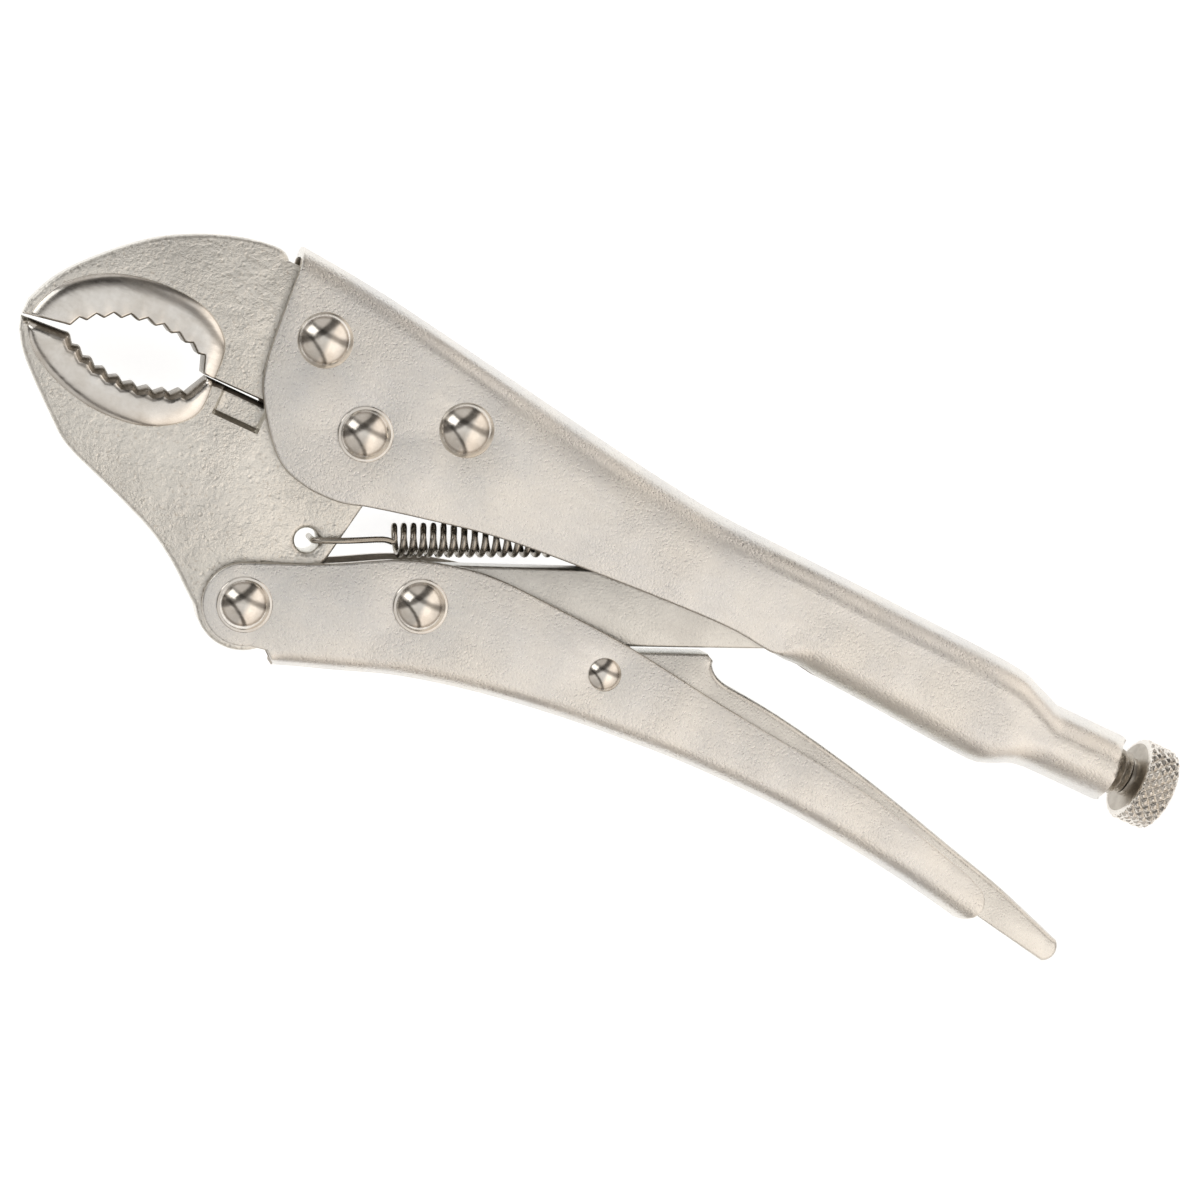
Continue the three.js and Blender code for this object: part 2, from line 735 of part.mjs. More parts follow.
function tensionSpring() {
  const section = new THREE.Shape();
  section.absarc(0, 0, wireRadius, 0, 2 * Math.PI, false);
  const path = springPath();
  return toSolid(new THREE.ExtrudeGeometry(section, {
    steps: (stepsPerTurn - 1) * coilTurns + 20,
    curveSegments: wireSides / 2,
    extrudePath: path,
  }));
}

// ---- Assembly ----------------------------------------------------------------------------

const finish = {
  plate: { color: 0xd6d0c4, roughness: 0.42, metalness: 0.85 },
  forged: { color: 0xc6c1b6, roughness: 0.5, metalness: 0.85 },
  bright: { color: 0xe4dfd5, roughness: 0.12, metalness: 1.0 },
  wire: { color: 0x8e887c, roughness: 0.3, metalness: 0.95 },
  knurl: { color: 0xcfc8b9, roughness: 0.3, metalness: 0.95 },
};

const pieces = [
  ['upper_handle', upperHandle(), finish.plate],
  ['fixed_jaw', fixedJaw(), finish.forged],
  ['fixed_jaw_rivet_front', rivet(frontRivet, ...jawHead), finish.bright],
  ['fixed_jaw_rivet_rear', rivet(rearRivet, ...jawHead), finish.bright],
  ['jaw_pivot_rivet', rivet(jawPivot, ...pivotHead), finish.bright],
  ['lower_jaw', lowerJaw(), finish.forged],
  ['lower_handle', lowerHandle(), finish.plate],
  ['handle_pivot_rivet', rivet(handlePivot, ...pivotHead), finish.bright],
  ['link_pivot_rivet', rivet(linkPivot, ...pivotHead), finish.bright],
  ['toggle_link', toggleLink(), finish.forged],
  ['release_lever', releaseLever(), finish.plate],
  ['release_lever_rivet', rivet(leverPivot, ...leverHead), finish.bright],
  ['tension_spring', tensionSpring(), finish.wire],
  ['adjusting_screw', adjustingScrew(), finish.knurl],
  ['screw_knob', screwKnob(), finish.knurl],
];

const pliers = new THREE.Group();
pieces.forEach(([name, solid, look]) => {
  const mesh = new THREE.Mesh(toGeometry(solid), new THREE.MeshStandardMaterial(look));
  mesh.name = name;
  pliers.add(mesh);
});

const box = new THREE.Box3().setFromObject(pliers);
const middle = box.getCenter(new THREE.Vector3());
pliers.position.set(-middle.x, -middle.y, -box.min.z);

const locking_pliers = new THREE.Group();
locking_pliers.add(pliers);

export default locking_pliers;
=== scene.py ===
"""Locking pliers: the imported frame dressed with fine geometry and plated-steel materials.

Shapes are drawn in millimetres about the jaw pivot, with x along the adjusting screw, y in the
plane of the tool and z through its thickness, and are moved to the frame's metres at the end.
"""

import math

import bmesh
import bpy
import numpy as np
from mathutils import Matrix, Vector
from mathutils.geometry import delaunay_2d_cdt

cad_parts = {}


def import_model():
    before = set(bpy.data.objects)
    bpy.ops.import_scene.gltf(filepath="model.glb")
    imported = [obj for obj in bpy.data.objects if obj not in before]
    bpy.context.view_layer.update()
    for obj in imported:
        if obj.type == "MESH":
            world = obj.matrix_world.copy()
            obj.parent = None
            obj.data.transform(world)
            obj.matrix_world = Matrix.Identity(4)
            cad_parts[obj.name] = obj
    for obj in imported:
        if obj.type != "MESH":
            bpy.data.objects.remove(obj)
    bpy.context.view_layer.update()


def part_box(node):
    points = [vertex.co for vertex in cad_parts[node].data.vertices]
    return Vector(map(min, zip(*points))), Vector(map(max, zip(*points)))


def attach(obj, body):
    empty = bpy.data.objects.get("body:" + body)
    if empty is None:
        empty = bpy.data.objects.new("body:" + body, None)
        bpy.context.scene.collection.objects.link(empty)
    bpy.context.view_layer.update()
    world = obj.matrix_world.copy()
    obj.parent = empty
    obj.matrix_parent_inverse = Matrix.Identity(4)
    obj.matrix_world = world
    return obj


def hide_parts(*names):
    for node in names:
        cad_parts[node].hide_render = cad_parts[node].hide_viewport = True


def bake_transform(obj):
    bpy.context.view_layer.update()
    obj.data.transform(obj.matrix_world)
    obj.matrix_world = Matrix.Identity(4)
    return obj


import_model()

MM = 0.001
pivot_low, pivot_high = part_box("jaw_pivot_rivet")
ORIGIN = (pivot_low + pivot_high) / 2

# ---- Dimensions, as in the frame ----

SHEET = 2.0
JAW_HALF = 5.0
INSIDE = 5.2
OUTSIDE = 7.2
SPINE_R = 3.6
SPINE_BEND = 4.6
GRIP_BEND = 5.8
TUBE_BEND = 6.7
SHOULDER_FALL = 1.5
SHOULDER_WIDTH = 9.5
JAW_PIVOT = (0.0, 0.0)
HANDLE_PIVOT = (-7.2, -39.2)
LINK_PIVOT = (23.8, -25.6)
LEVER_PIVOT = (62.7, -22.8)
FRONT_RIVET = (-14.5, 12.9)
REAR_RIVET = (17.4, 8.9)
SPRING_HOLE = (-1.3, -23.2)
SHANK = 2.8
LEVER_SHANK = 1.9
HOLE = 2.95
LEVER_HOLE = 2.05
RIVET_RIM = 0.15
TIP_X = -67.6
TUBE_START = 153.0
TUBE_END = 169.5
TUBE_R = 7.2
SCREW_Y = 2.6
SCREW_R = 4.85
KNOB_R = 8.8
KNOB_START = 174.5
KNOB_LENGTH = 7.6
GRIP_START = 90.0
GRIP_ROLLED = 100.0
GRIP_LENGTH = 63.0
SHOULDER = GRIP_START + 0.86 * GRIP_LENGTH
RING_HEIGHT = 1.15
CUT_EDGE = 0.45
PIVOT_BOSS = 8.6
LINK_HEAD_R = 7.7
LINK_TAIL_R = 7.5
LINK_HALF = 3.5
LEVER_HALF = 4.2
LEVER_INSIDE = 2.9
SPIGOT_R = 3.0
COLLAR_R = 4.1


def along_grip(share):
    return GRIP_START + share * GRIP_LENGTH


# ---- Curves ----


def spline(points, per=14):
    """A uniform Catmull-Rom curve through the points."""
    p = np.asarray(points, float)
    out = []
    for i in range(len(p) - 1):
        a, b, c, d = p[max(i - 1, 0)], p[i], p[i + 1], p[min(i + 2, len(p) - 1)]
        t = np.linspace(0, 1, per, endpoint=False)[:, None]
        v0, v1 = (c - a) / 2, (d - b) / 2
        out.append((2 * b - 2 * c + v0 + v1) * t**3 + (-3 * b + 3 * c - 2 * v0 - v1) * t**2 + v0 * t + b)
    return np.vstack(out + [p[-1:]])


def closed_spline(points, per=12):
    """A centripetal Catmull-Rom loop through the points."""
    p = np.asarray(points, float)
    n = len(p)
    out = []
    for i in range(n):
        q = [p[(i + k) % n] for k in (-1, 0, 1, 2)]
        t = [0.0]
        for k in range(3):
            t.append(t[-1] + np.linalg.norm(q[k + 1] - q[k]) ** 0.5)
        for s in np.linspace(t[1], t[2], per, endpoint=False):
            a = [(t[k + 1] - s) / (t[k + 1] - t[k]) * q[k] + (s - t[k]) / (t[k + 1] - t[k]) * q[k + 1]
                 for k in range(3)]
            b = [(t[k + 2] - s) / (t[k + 2] - t[k]) * a[k] + (s - t[k]) / (t[k + 2] - t[k]) * a[k + 1]
                 for k in range(2)]
            out.append((t[2] - s) / (t[2] - t[1]) * b[0] + (s - t[1]) / (t[2] - t[1]) * b[1])
    return np.array(out)


def height_along(points):
    curve = spline(points, 24)
    return lambda x: np.interp(x, curve[:, 0], curve[:, 1])


def arc(centre, radius, start, end, step=0.12):
    count = max(3, int(abs(end - start) / step))
    angle = np.linspace(start, end, count + 1)
    return np.stack([centre[0] + radius * np.cos(angle), centre[1] + radius * np.sin(angle)], 1)


def line(*points):
    return np.asarray(points, float)


def ramp(x, start, end, low, high):
    return low + (high - low) * np.clip((np.asarray(x, float) - start) / (end - start), 0, 1)


def smooth(x, start, end):
    t = np.clip((np.asarray(x, float) - start) / (end - start), 0, 1)
    return t * t * (3 - 2 * t)


def resample(points, step):
    out = [points[0]]
    for a, b in zip(points[:-1], points[1:]):
        n = max(1, int(math.ceil(np.linalg.norm(b - a) / step)))
        out += [a + (b - a) * k / n for k in range(1, n + 1)]
    return np.array(out)


# ---- Outlines ----


class Ring:
    """A closed outline with an edge radius at each point. Solid material lies on its left."""

    def __init__(self, stretches, step=0.8, hole=False):
        points, radii = [], []
        for stretch, radius in stretches:
            dense = resample(np.asarray(stretch, float), step)
            for p in dense:
                if points and np.linalg.norm(p - points[-1]) < 0.02:
                    radii[-1] = min(radii[-1], radius)
                    continue
                points.append(p)
                radii.append(radius)
        if np.linalg.norm(points[0] - points[-1]) < 0.02:
            points.pop()
            radii.pop()
        self.p = np.array(points)
        self.r = np.array(radii)
        x, y = self.p[:, 0], self.p[:, 1]
        area = np.sum(x * np.roll(y, -1) - np.roll(x, -1) * y)
        if (area > 0) == hole:
            self.p, self.r = self.p[::-1].copy(), self.r[::-1].copy()
        for _ in range(3):
            self.r = np.minimum(self.r, 0.5 * (np.roll(self.r, 1) + np.roll(self.r, -1)) + 0.12)

    def normals(self):
        edge = np.roll(self.p, -1, 0) - self.p
        edge /= np.linalg.norm(edge, axis=1)[:, None]
        side = np.stack([-edge[:, 1], edge[:, 0]], 1)
        n = side + np.roll(side, 1, 0)
        return n / np.maximum(np.linalg.norm(n, axis=1), 1e-6)[:, None]


def circle_hole(centre, radius, rim, step=0.45):
    return Ring([(arc(centre, radius, 0, 2 * math.pi, step / radius), rim)], step, hole=True)


def nearest(points, rings):
    """Distance from each point to the outlines, and the edge radius there."""
    a = np.vstack([r.p for r in rings])
    b = np.vstack([np.roll(r.p, -1, 0) for r in rings])
    ra = np.concatenate([r.r for r in rings])
    rb = np.concatenate([np.roll(r.r, -1) for r in rings])
    ab = b - a
    length = np.sum(ab * ab, 1)
    distance = np.empty(len(points))
    radius = np.empty(len(points))
    for i in range(0, len(points), 2000):
        p = points[i:i + 2000, None, :]
        t = np.clip(np.sum((p - a) * ab, 2) / length, 0, 1)
        gap = np.linalg.norm(p - (a + t[..., None] * ab), axis=2)
        k = np.argmin(gap, 1)
        rows = np.arange(len(k))
        distance[i:i + 2000] = gap[rows, k]
        radius[i:i + 2000] = ra[k] + t[rows, k] * (rb[k] - ra[k])
    return distance, radius


def inside(points, rings):
    flag = np.zeros(len(points), bool)
    for ring in rings:
        a, b = ring.p, np.roll(ring.p, -1, 0)
        for i in range(0, len(points), 4000):
            x = points[i:i + 4000, 0][:, None]
            y = points[i:i + 4000, 1][:, None]
            crosses = (a[:, 1] > y) != (b[:, 1] > y)
            with np.errstate(divide="ignore", invalid="ignore"):
                at = a[:, 0] + (y - a[:, 1]) * (b[:, 0] - a[:, 0]) / (b[:, 1] - a[:, 1])
            flag[i:i + 4000] ^= (np.sum(crosses & (x < at), 1) % 2).astype(bool)
    return flag


def rounding(distance, radius):
    """How far a surface lies below its height, at a distance from an edge of that radius."""
    radius = np.maximum(radius, 1e-6)
    inner = np.clip(radius - distance, 0, radius)
    return radius - np.sqrt(np.maximum(radius * radius - inner * inner, 0))


ROUND_STEPS = 4


def slab(name, rings, half, lines=(), lift=None):
    """A solid on both sides of the middle plane: outlines with rounded edges, and a relief.

    half is the half thickness, lines are polylines that the surface has to follow, and
    lift(x, y) raises or lowers both faces.
    """
    coords, edges = [], []

    def add(polyline, closed):
        start = len(coords)
        coords.extend(polyline)
        n = len(polyline)
        for i in range(n if closed else n - 1):
            edges.append((start + i, start + (i + 1) % n))

    for ring in rings:
        add(ring.p, True)
        n = ring.normals()
        for k in range(1, ROUND_STEPS + 1):
            reach = ring.r * (1 - math.cos(k / ROUND_STEPS * math.pi / 2))
            loop = ring.p + n * reach[:, None]
            far, _ = nearest(loop, rings)
            good = far > 0.96 * reach - 1e-4
            start = len(coords)
            place = np.full(len(loop), -1)
            place[good] = start + np.arange(good.sum())
            coords.extend(loop[good])
            for i in range(len(loop)):
                j = (i + 1) % len(loop)
                if place[i] >= 0 and place[j] >= 0:
                    edges.append((int(place[i]), int(place[j])))
    for polyline in lines:
        keep = inside(polyline, rings)
        runs = np.split(np.arange(len(polyline)), np.nonzero(np.diff(keep.astype(int)))[0] + 1)
        for run in runs:
            if keep[run[0]] and len(run) > 1:
                add(polyline[run], False)
    verts, _, tris, _, _, _ = delaunay_2d_cdt([Vector(c) for c in coords], edges, [], 0, 1e-5, False)
    flat = np.array([(v.x, v.y) for v in verts])
    tri = np.array([t for t in tris if len(t) == 3])
    a, b, c = flat[tri[:, 0]], flat[tri[:, 1]], flat[tri[:, 2]]
    area = (b[:, 0] - a[:, 0]) * (c[:, 1] - a[:, 1]) - (b[:, 1] - a[:, 1]) * (c[:, 0] - a[:, 0])
    tri[area < 0] = tri[area < 0][:, ::-1]
    tri = tri[(np.abs(area) > 1e-9) & inside((a + b + c) / 3, rings)]
    distance, radius = nearest(flat, rings)
    z = np.full(len(flat), float(half))
    if lift is not None:
        z += lift(flat[:, 0], flat[:, 1])
    z = np.maximum(z - rounding(distance, radius), 0.02)
    count = len(flat)
    used = {(int(t[i]), int(t[(i + 1) % 3])): True for t in tri for i in range(3)}
    rim = [(i, j) for (i, j) in used if (j, i) not in used]
    near = np.column_stack([flat, z])
    away = np.column_stack([flat, -z])
    faces = [tuple(int(i) for i in t) for t in tri]
    faces += [tuple(int(i) + count for i in t[::-1]) for t in tri]
    faces += [(j, i, i + count, j + count) for i, j in rim]
    return make(name, np.vstack([near, away]), faces)


def make(name, verts, faces):
    """A mesh object in drawing millimetres, without the vertices that no face uses."""
    verts = np.asarray(verts, float)
    seen = np.zeros(len(verts), bool)
    for f in faces:
        seen[list(f)] = True
    index = np.cumsum(seen) - 1
    mesh = bpy.data.meshes.new(name)
    mesh.from_pydata(verts[seen].tolist(), [], [tuple(int(index[i]) for i in f) for f in faces])
    mesh.validate()
    obj = bpy.data.objects.new(name, mesh)
    bpy.context.scene.collection.objects.link(obj)
    return obj


def grid(name, rows):
    """A skin over closed loops of equal length that follow each other, with both ends closed."""
    n = len(rows[0])
    faces = []
    for r in range(len(rows) - 1):
        for i in range(n):
            j = (i + 1) % n
            faces.append((r * n + i, r * n + j, (r + 1) * n + j, (r + 1) * n + i))
    faces.append(tuple(range(n))[::-1])
    faces.append(tuple(range((len(rows) - 1) * n, len(rows) * n)))
    return make(name, np.vstack(rows), faces)


def prism(name, outline, axis, low, high):
    """A plain prism over an outline, along 'y' or 'z'."""
    n = len(outline)
    column = {"y": 1, "z": 2}[axis]
    ends = [np.insert(np.asarray(outline, float), column, value, 1) for value in (low, high)]
    faces = [(i, (i + 1) % n, n + (i + 1) % n, n + i) for i in range(n)]
    faces += [tuple(range(n))[::-1], tuple(range(n, 2 * n))]
    obj = make(name, np.vstack(ends), faces)
    bm = bmesh.new()
    bm.from_mesh(obj.data)
    bmesh.ops.recalc_face_normals(bm, faces=bm.faces[:])
    bm.to_mesh(obj.data)
    bm.free()
    return obj


def cut(obj, other):
    """Take another object's solid away from a piece."""
    modifier = obj.modifiers.new("cut", "BOOLEAN")
    modifier.operation = "DIFFERENCE"
    modifier.solver = "EXACT"
    modifier.object = other
    bpy.context.view_layer.update()
    depsgraph = bpy.context.evaluated_depsgraph_get()
    result = bpy.data.meshes.new_from_object(obj.evaluated_get(depsgraph))
    obj.modifiers.clear()
    old = obj.data
    obj.data = result
    bpy.data.meshes.remove(old)
    bpy.data.objects.remove(other)


# ---- Upper handle ----

TUBE_TOP = SCREW_Y + TUBE_R
TUBE_BOTTOM = SCREW_Y - TUBE_R
nose_top = height_along([(-30, 27.6), (-16, 26.6), (-6, 25.6)])
grip_top = height_along([(45, 18.4), (58, 16.7), (72, 15.3), (GRIP_START, 14.8), (along_grip(0.35), 14.3),
                         (along_grip(0.79), 13.4), (along_grip(0.92), 11.6), (TUBE_START, TUBE_TOP)])
grip_bottom = height_along([(GRIP_ROLLED, -5.7), (along_grip(0.45), -6.7), (along_grip(0.78), -8.0),
                            (along_grip(0.865), -7.0), (along_grip(0.935), -5.2), (TUBE_START, TUBE_BOTTOM)])
plate_edge = height_along([(5.4, -12.7), (16.4, -10.2), (33.3, -7.1), (57.3, -5.2), (80, -4.2),
                           (GRIP_START, -5.0)])
HANDLE_FRONT = -25.3
FLAT_START, FLAT_START_Y = -6, 25.6
FLAT_END, FLAT_END_Y = 45, 18.4


def upper_spine(x):
    x = np.asarray(x, float)
    slope = (FLAT_END_Y - FLAT_START_Y) / (FLAT_END - FLAT_START)
    flat = FLAT_START_Y + (x - FLAT_START) * slope
    y = np.where(x < FLAT_START, nose_top(x), np.where(x <= FLAT_END, flat, grip_top(x)))
    return np.where(x >= TUBE_START, TUBE_TOP, y)


def upper_bottom(x):
    x = np.asarray(x, float)
    rolled = np.where(x >= TUBE_START, TUBE_BOTTOM, grip_bottom(x))
    share = smooth(x, GRIP_START, GRIP_ROLLED)
    return plate_edge(x) * (1 - share) + rolled * share


def neck_radius(x):
    """The bends' radius from the shoulder of the grip to the tube."""
    return ramp(x, SHOULDER, TUBE_START, GRIP_BEND, TUBE_BEND)


def top_radius(x):
    return np.where(np.asarray(x) < SHOULDER, ramp(x, 60, 110, SPINE_BEND, GRIP_BEND), neck_radius(x))


def bottom_radius(x):
    return np.where(np.asarray(x) < SHOULDER, GRIP_BEND * smooth(x, GRIP_START, GRIP_ROLLED), neck_radius(x))


def follow(height, radius, xs, sign, steps=7):
    """Polylines beside an edge, where a round of the given radius needs points."""
    out = []
    for k in range(1, steps + 1):
        reach = radius(xs) * (1 - math.cos(k / steps * math.pi / 2))
        out.append(np.stack([xs, height(xs) + sign * reach], 1))
    return out


def upper_handle():
    """The folded sheet: two plates, a spine, a rolled grip and a tube for the screw."""
    corner = 0.5
    end_x = TUBE_END - corner
    end = arc((end_x, TUBE_TOP - corner), corner, math.pi / 2, 0, 0.4)
    low_end = arc((end_x, TUBE_BOTTOM + corner), corner, 0, -math.pi / 2, 0.4)
    xs = np.arange(HANDLE_FRONT, end_x, 1.2)
    top = np.stack([xs, upper_spine(xs)], 1)
    front = np.vstack([line((HANDLE_FRONT, float(upper_spine(HANDLE_FRONT))), (-24.4, 22)),
                       spline([(-24.4, 22), (-22.9, 5.2), (-20.3, -2.3), (-13.3, -11.0), (-6.8, -13.8),
                               (0.6, -14.0), (6, float(plate_edge(6)))])[1:]])
    roll_x = GRIP_START + 5
    edge_x = np.linspace(6, roll_x, 60)
    rest_x = np.linspace(roll_x, end_x, 62)
    edge = np.stack([edge_x, upper_bottom(edge_x)], 1)
    rest = np.stack([rest_x, upper_bottom(rest_x)], 1)
    ring = Ring([(top[::-1], 0.0), (front, CUT_EDGE), (edge, CUT_EDGE), (rest, 0.0),
                 (low_end[::-1], CUT_EDGE), (end[::-1], CUT_EDGE)])
    holes = [circle_hole(c, HOLE, RIVET_RIM) for c in (JAW_PIVOT, FRONT_RIVET, REAR_RIVET)]
    line_x = np.arange(HANDLE_FRONT, TUBE_END, 1.5)
    grip_x = np.arange(GRIP_START + 1, TUBE_END, 1.5)
    lines = follow(upper_spine, top_radius, line_x, -1) + follow(upper_bottom, bottom_radius, grip_x, 1)
    for share in (0.6, 0.7, 0.8, 0.9, 1.0):
        lines.append(np.stack([line_x, upper_spine(line_x) - share * SHOULDER_WIDTH], 1))

    def lift(x, y):
        below = upper_spine(x) - y
        fall = SHOULDER_FALL * smooth(x, 2, 38) * (1 - smooth(x, 66, 98))
        fall = fall * np.clip(1 - below / SHOULDER_WIDTH, 0, 1)**2
        return -fall - rounding(below, top_radius(x)) - rounding(y - upper_bottom(x), bottom_radius(x))

    body = slab("upper_shell", [ring] + holes, OUTSIDE, lines, lift)

    def inner_top(x):
        return upper_spine(np.clip(x, -30, 200)) - SHEET

    def inner_bottom(x):
        return upper_bottom(x) + SHEET

    def inner_top_radius(x):
        return top_radius(x) - SHEET

    def inner_bottom_radius(x):
        return np.maximum(bottom_radius(x) - SHEET, 0.3)

    closed = GRIP_START + 4
    xs = np.arange(-40, 186, 1.5)
    back_x = np.arange(closed, 186, 1.5)
    outline = np.vstack([np.stack([xs, inner_top(xs)], 1)[::-1], line((-40, -30), (closed, -30)),
                         np.stack([back_x, inner_bottom(back_x)], 1)])
    lines = follow(inner_top, inner_top_radius, xs[1:-1], -1, 5)
    lines += follow(inner_bottom, inner_bottom_radius, back_x[1:-1], 1, 5)

    def hollow(x, y):
        low = np.where(x > closed, rounding(y - inner_bottom(x), inner_bottom_radius(x)), 0)
        return -rounding(inner_top(x) - y, inner_top_radius(x)) - low

    cut(body, slab("upper_hollow", [Ring([(outline, 0.0)], 2.0)], INSIDE, lines, hollow))
    seam = [(91, 5.3), (96, 4.6), (104, 2.6), (SHOULDER, 2.6), (TUBE_START - 2, 0.5), (TUBE_START + 1, 0.28),
            (180, 0.28)]
    seam += [(x, -z) for x, z in reversed(seam)]
    cut(body, prism("upper_seam", seam, "y", -32, -2.35))
    window = [(56.9, -1.7), (61.4, -1.7), (61.4, 1.7), (56.9, 1.7)]
    cut(body, prism("upper_window", window, "y", 12, 20))
    return body


def spring_tab():
    """The tongue pushed in from the spine, which the spring hangs on."""
    x = 56.05
    top = float(upper_spine(x)) - 0.9
    side = [(x - 0.8, top - 5.7), (x - 0.55, top - 6.2), (x + 0.55, top - 6.2), (x + 0.8, top - 5.7),
            (x + 0.8, top - 0.8), (x + 1.4, top), (x - 0.8, top)]
    return prism("spring_tab", side, "z", -1.65, 1.65)


# ---- Lower handle ----

lower_spine = height_along([(-17, -55.5), (3, -47.8), (14, -44.0), (26, -39.9), (40, -36.8), (56, -34.5),
                            (72, -33.1), (GRIP_START, -32.3), (along_grip(0.35), -32.9),
                            (along_grip(0.73), -35.6), (along_grip(1.06), -39.2)])
LOWER_TOP = [(3.9, -25.6), (15.7, -19.4), (25, -16.2), (34.6, -14.6), (49, -14.9), (65.3, -15.9),
             (88.3, -18.8), (along_grip(0.41), -21.7), (along_grip(0.65), -24.4), (along_grip(0.95), -29.2)]
HANDLE_TIP = (along_grip(0.973), -34.2)
SPINE_START = 2.7


def lower_radius(x):
    return ramp(x, GRIP_START, TUBE_START, SPINE_R, SPINE_R + 0.6)


def lower_handle():
    """The folded sheet round the lower jaw's arm, the link and the lever, open along its top."""
    boss = arc(HANDLE_PIVOT, 8.1, -1.0, 2.0 - 2 * math.pi, 0.07)
    top = spline([boss[-1]] + LOWER_TOP)
    tip = arc(HANDLE_TIP, 4.1, 1.2, -1.3, 0.12)
    xs = np.linspace(151.6, SPINE_START, 130)
    spine = np.stack([xs, lower_spine(xs)], 1)
    spine_end = float(lower_spine(SPINE_START))
    notch = line((SPINE_START, spine_end), (SPINE_START, spine_end + 0.5), (0.4, -45.5), boss[0])
    ring = Ring([(boss, CUT_EDGE), (top, CUT_EDGE), (tip, CUT_EDGE), (spine, 0.0), (notch, 0.3)])
    holes = [circle_hole(c, HOLE, RIVET_RIM) for c in (HANDLE_PIVOT, LINK_PIVOT)]
    holes.append(circle_hole(LEVER_PIVOT, LEVER_HOLE, RIVET_RIM))
    line_x = np.arange(0.6, 156, 1.5)

    def lift(x, y):
        return -rounding(y - lower_spine(x), lower_radius(x)) * smooth(x, 0.2, 3.4)

    body = slab("lower_shell", [ring] + holes, OUTSIDE, follow(lower_spine, lower_radius, line_x, 1), lift)

    def floor(x):
        return lower_spine(np.clip(x, SPINE_START, 157)) + SHEET

    def inner_radius(x):
        return lower_radius(x) - SHEET

    xs = np.arange(SPINE_START, 170, 1.5)
    outline = np.vstack([line((-40, 40), (-40, -80), (SPINE_START, -80)), np.stack([xs, floor(xs)], 1),
                         line((175, 40))])

    def hollow(x, y):
        return np.where(x >= SPINE_START, -rounding(y - floor(x), inner_radius(x)), 0)

    lines = follow(floor, inner_radius, xs[1:-1], 1, 5)
    cut(body, slab("lower_hollow", [Ring([(outline, 0.0)], 2.0)], INSIDE, lines, hollow))
    return body


# ---- Jaws ----

RING_EDGE = closed_spline([(-66.2, -6.2), (-63.6, 1.0), (-56.5, 6.8), (-46.5, 9.4), (-36.8, 8.6),
                           (-31.2, 4.4), (-30.1, -2.8), (-30.4, -10.4), (-37.5, -16.0), (-48.5, -17.4),
                           (-59.0, -14.6), (-64.6, -10.6)])
RING_RIM = Ring([(np.vstack([RING_EDGE, RING_EDGE[:1]]), 1.0)], 0.5)
RING_ROUND = 4.0
MOUTH_FRONT = -60.0
MOUTH_BACK = -33.8
PARTING = -2.4
TEETH = 9
TOOTH = 0.9
TOOTH_SLOPE = 1.9


def ring_lift(x, y):
    """The polished rim that stands above the jaw's face round the mouth."""
    points = np.stack([x, y], 1)
    distance, _ = nearest(points, [RING_RIM])
    within = inside(points, [RING_RIM])
    share = 1 - np.clip(distance / RING_ROUND, 0, 1)
    return np.where(within, RING_HEIGHT * np.sqrt(np.maximum(1 - share**2, 0)), 0)


def ring_lines():
    """Polylines beside the rim's edge, closest where it rises most."""
    normals = RING_RIM.normals()
    out = []
    for reach in (-0.25, 0.0, 0.02, 0.07, 0.15, 0.28, 0.45, 0.7, 1.0, 1.35, 1.8, 2.4, 3.1, 4.05):
        loop = RING_RIM.p + normals * reach
        out.append(np.vstack([loop, loop[:1]]))
    return out


def arc_through(start, end, rise, count):
    """An arc between two points that bulges by rise."""
    start, end = np.array(start, float), np.array(end, float)
    chord = end - start
    half = np.linalg.norm(chord) / 2
    radius = (half * half + rise * rise) / (2 * abs(rise))
    side = math.copysign(1, rise)
    normal = np.array([-chord[1], chord[0]]) / (2 * half)
    centre = (start + end) / 2 + normal * (rise - side * radius)
    sweep = math.asin(half / radius)
    angle = sweep * (2 * np.arange(count + 1) / count - 1)
    along = np.outer(np.sin(angle), chord / (2 * half))
    across = np.outer(np.cos(angle), normal)
    return centre + along * radius + across * side * radius


def toothed(start, end, rise):
    """A row of teeth along an arc, each crest a narrow flat."""
    roots = arc_through(start, end, rise, 2 * TEETH)
    chord = np.array(end, float) - np.array(start, float)
    inward = np.array([-chord[1], chord[0]]) / np.linalg.norm(chord) * -math.copysign(TOOTH, rise)
    out = []
    for i, root in enumerate(roots):
        if i % 2:
            crest = root + inward
            side = (roots[i + 1] - roots[i - 1]) * 0.05
            out += [crest - side, crest + side]
        else:
            out.append(root)
    return np.array(out)


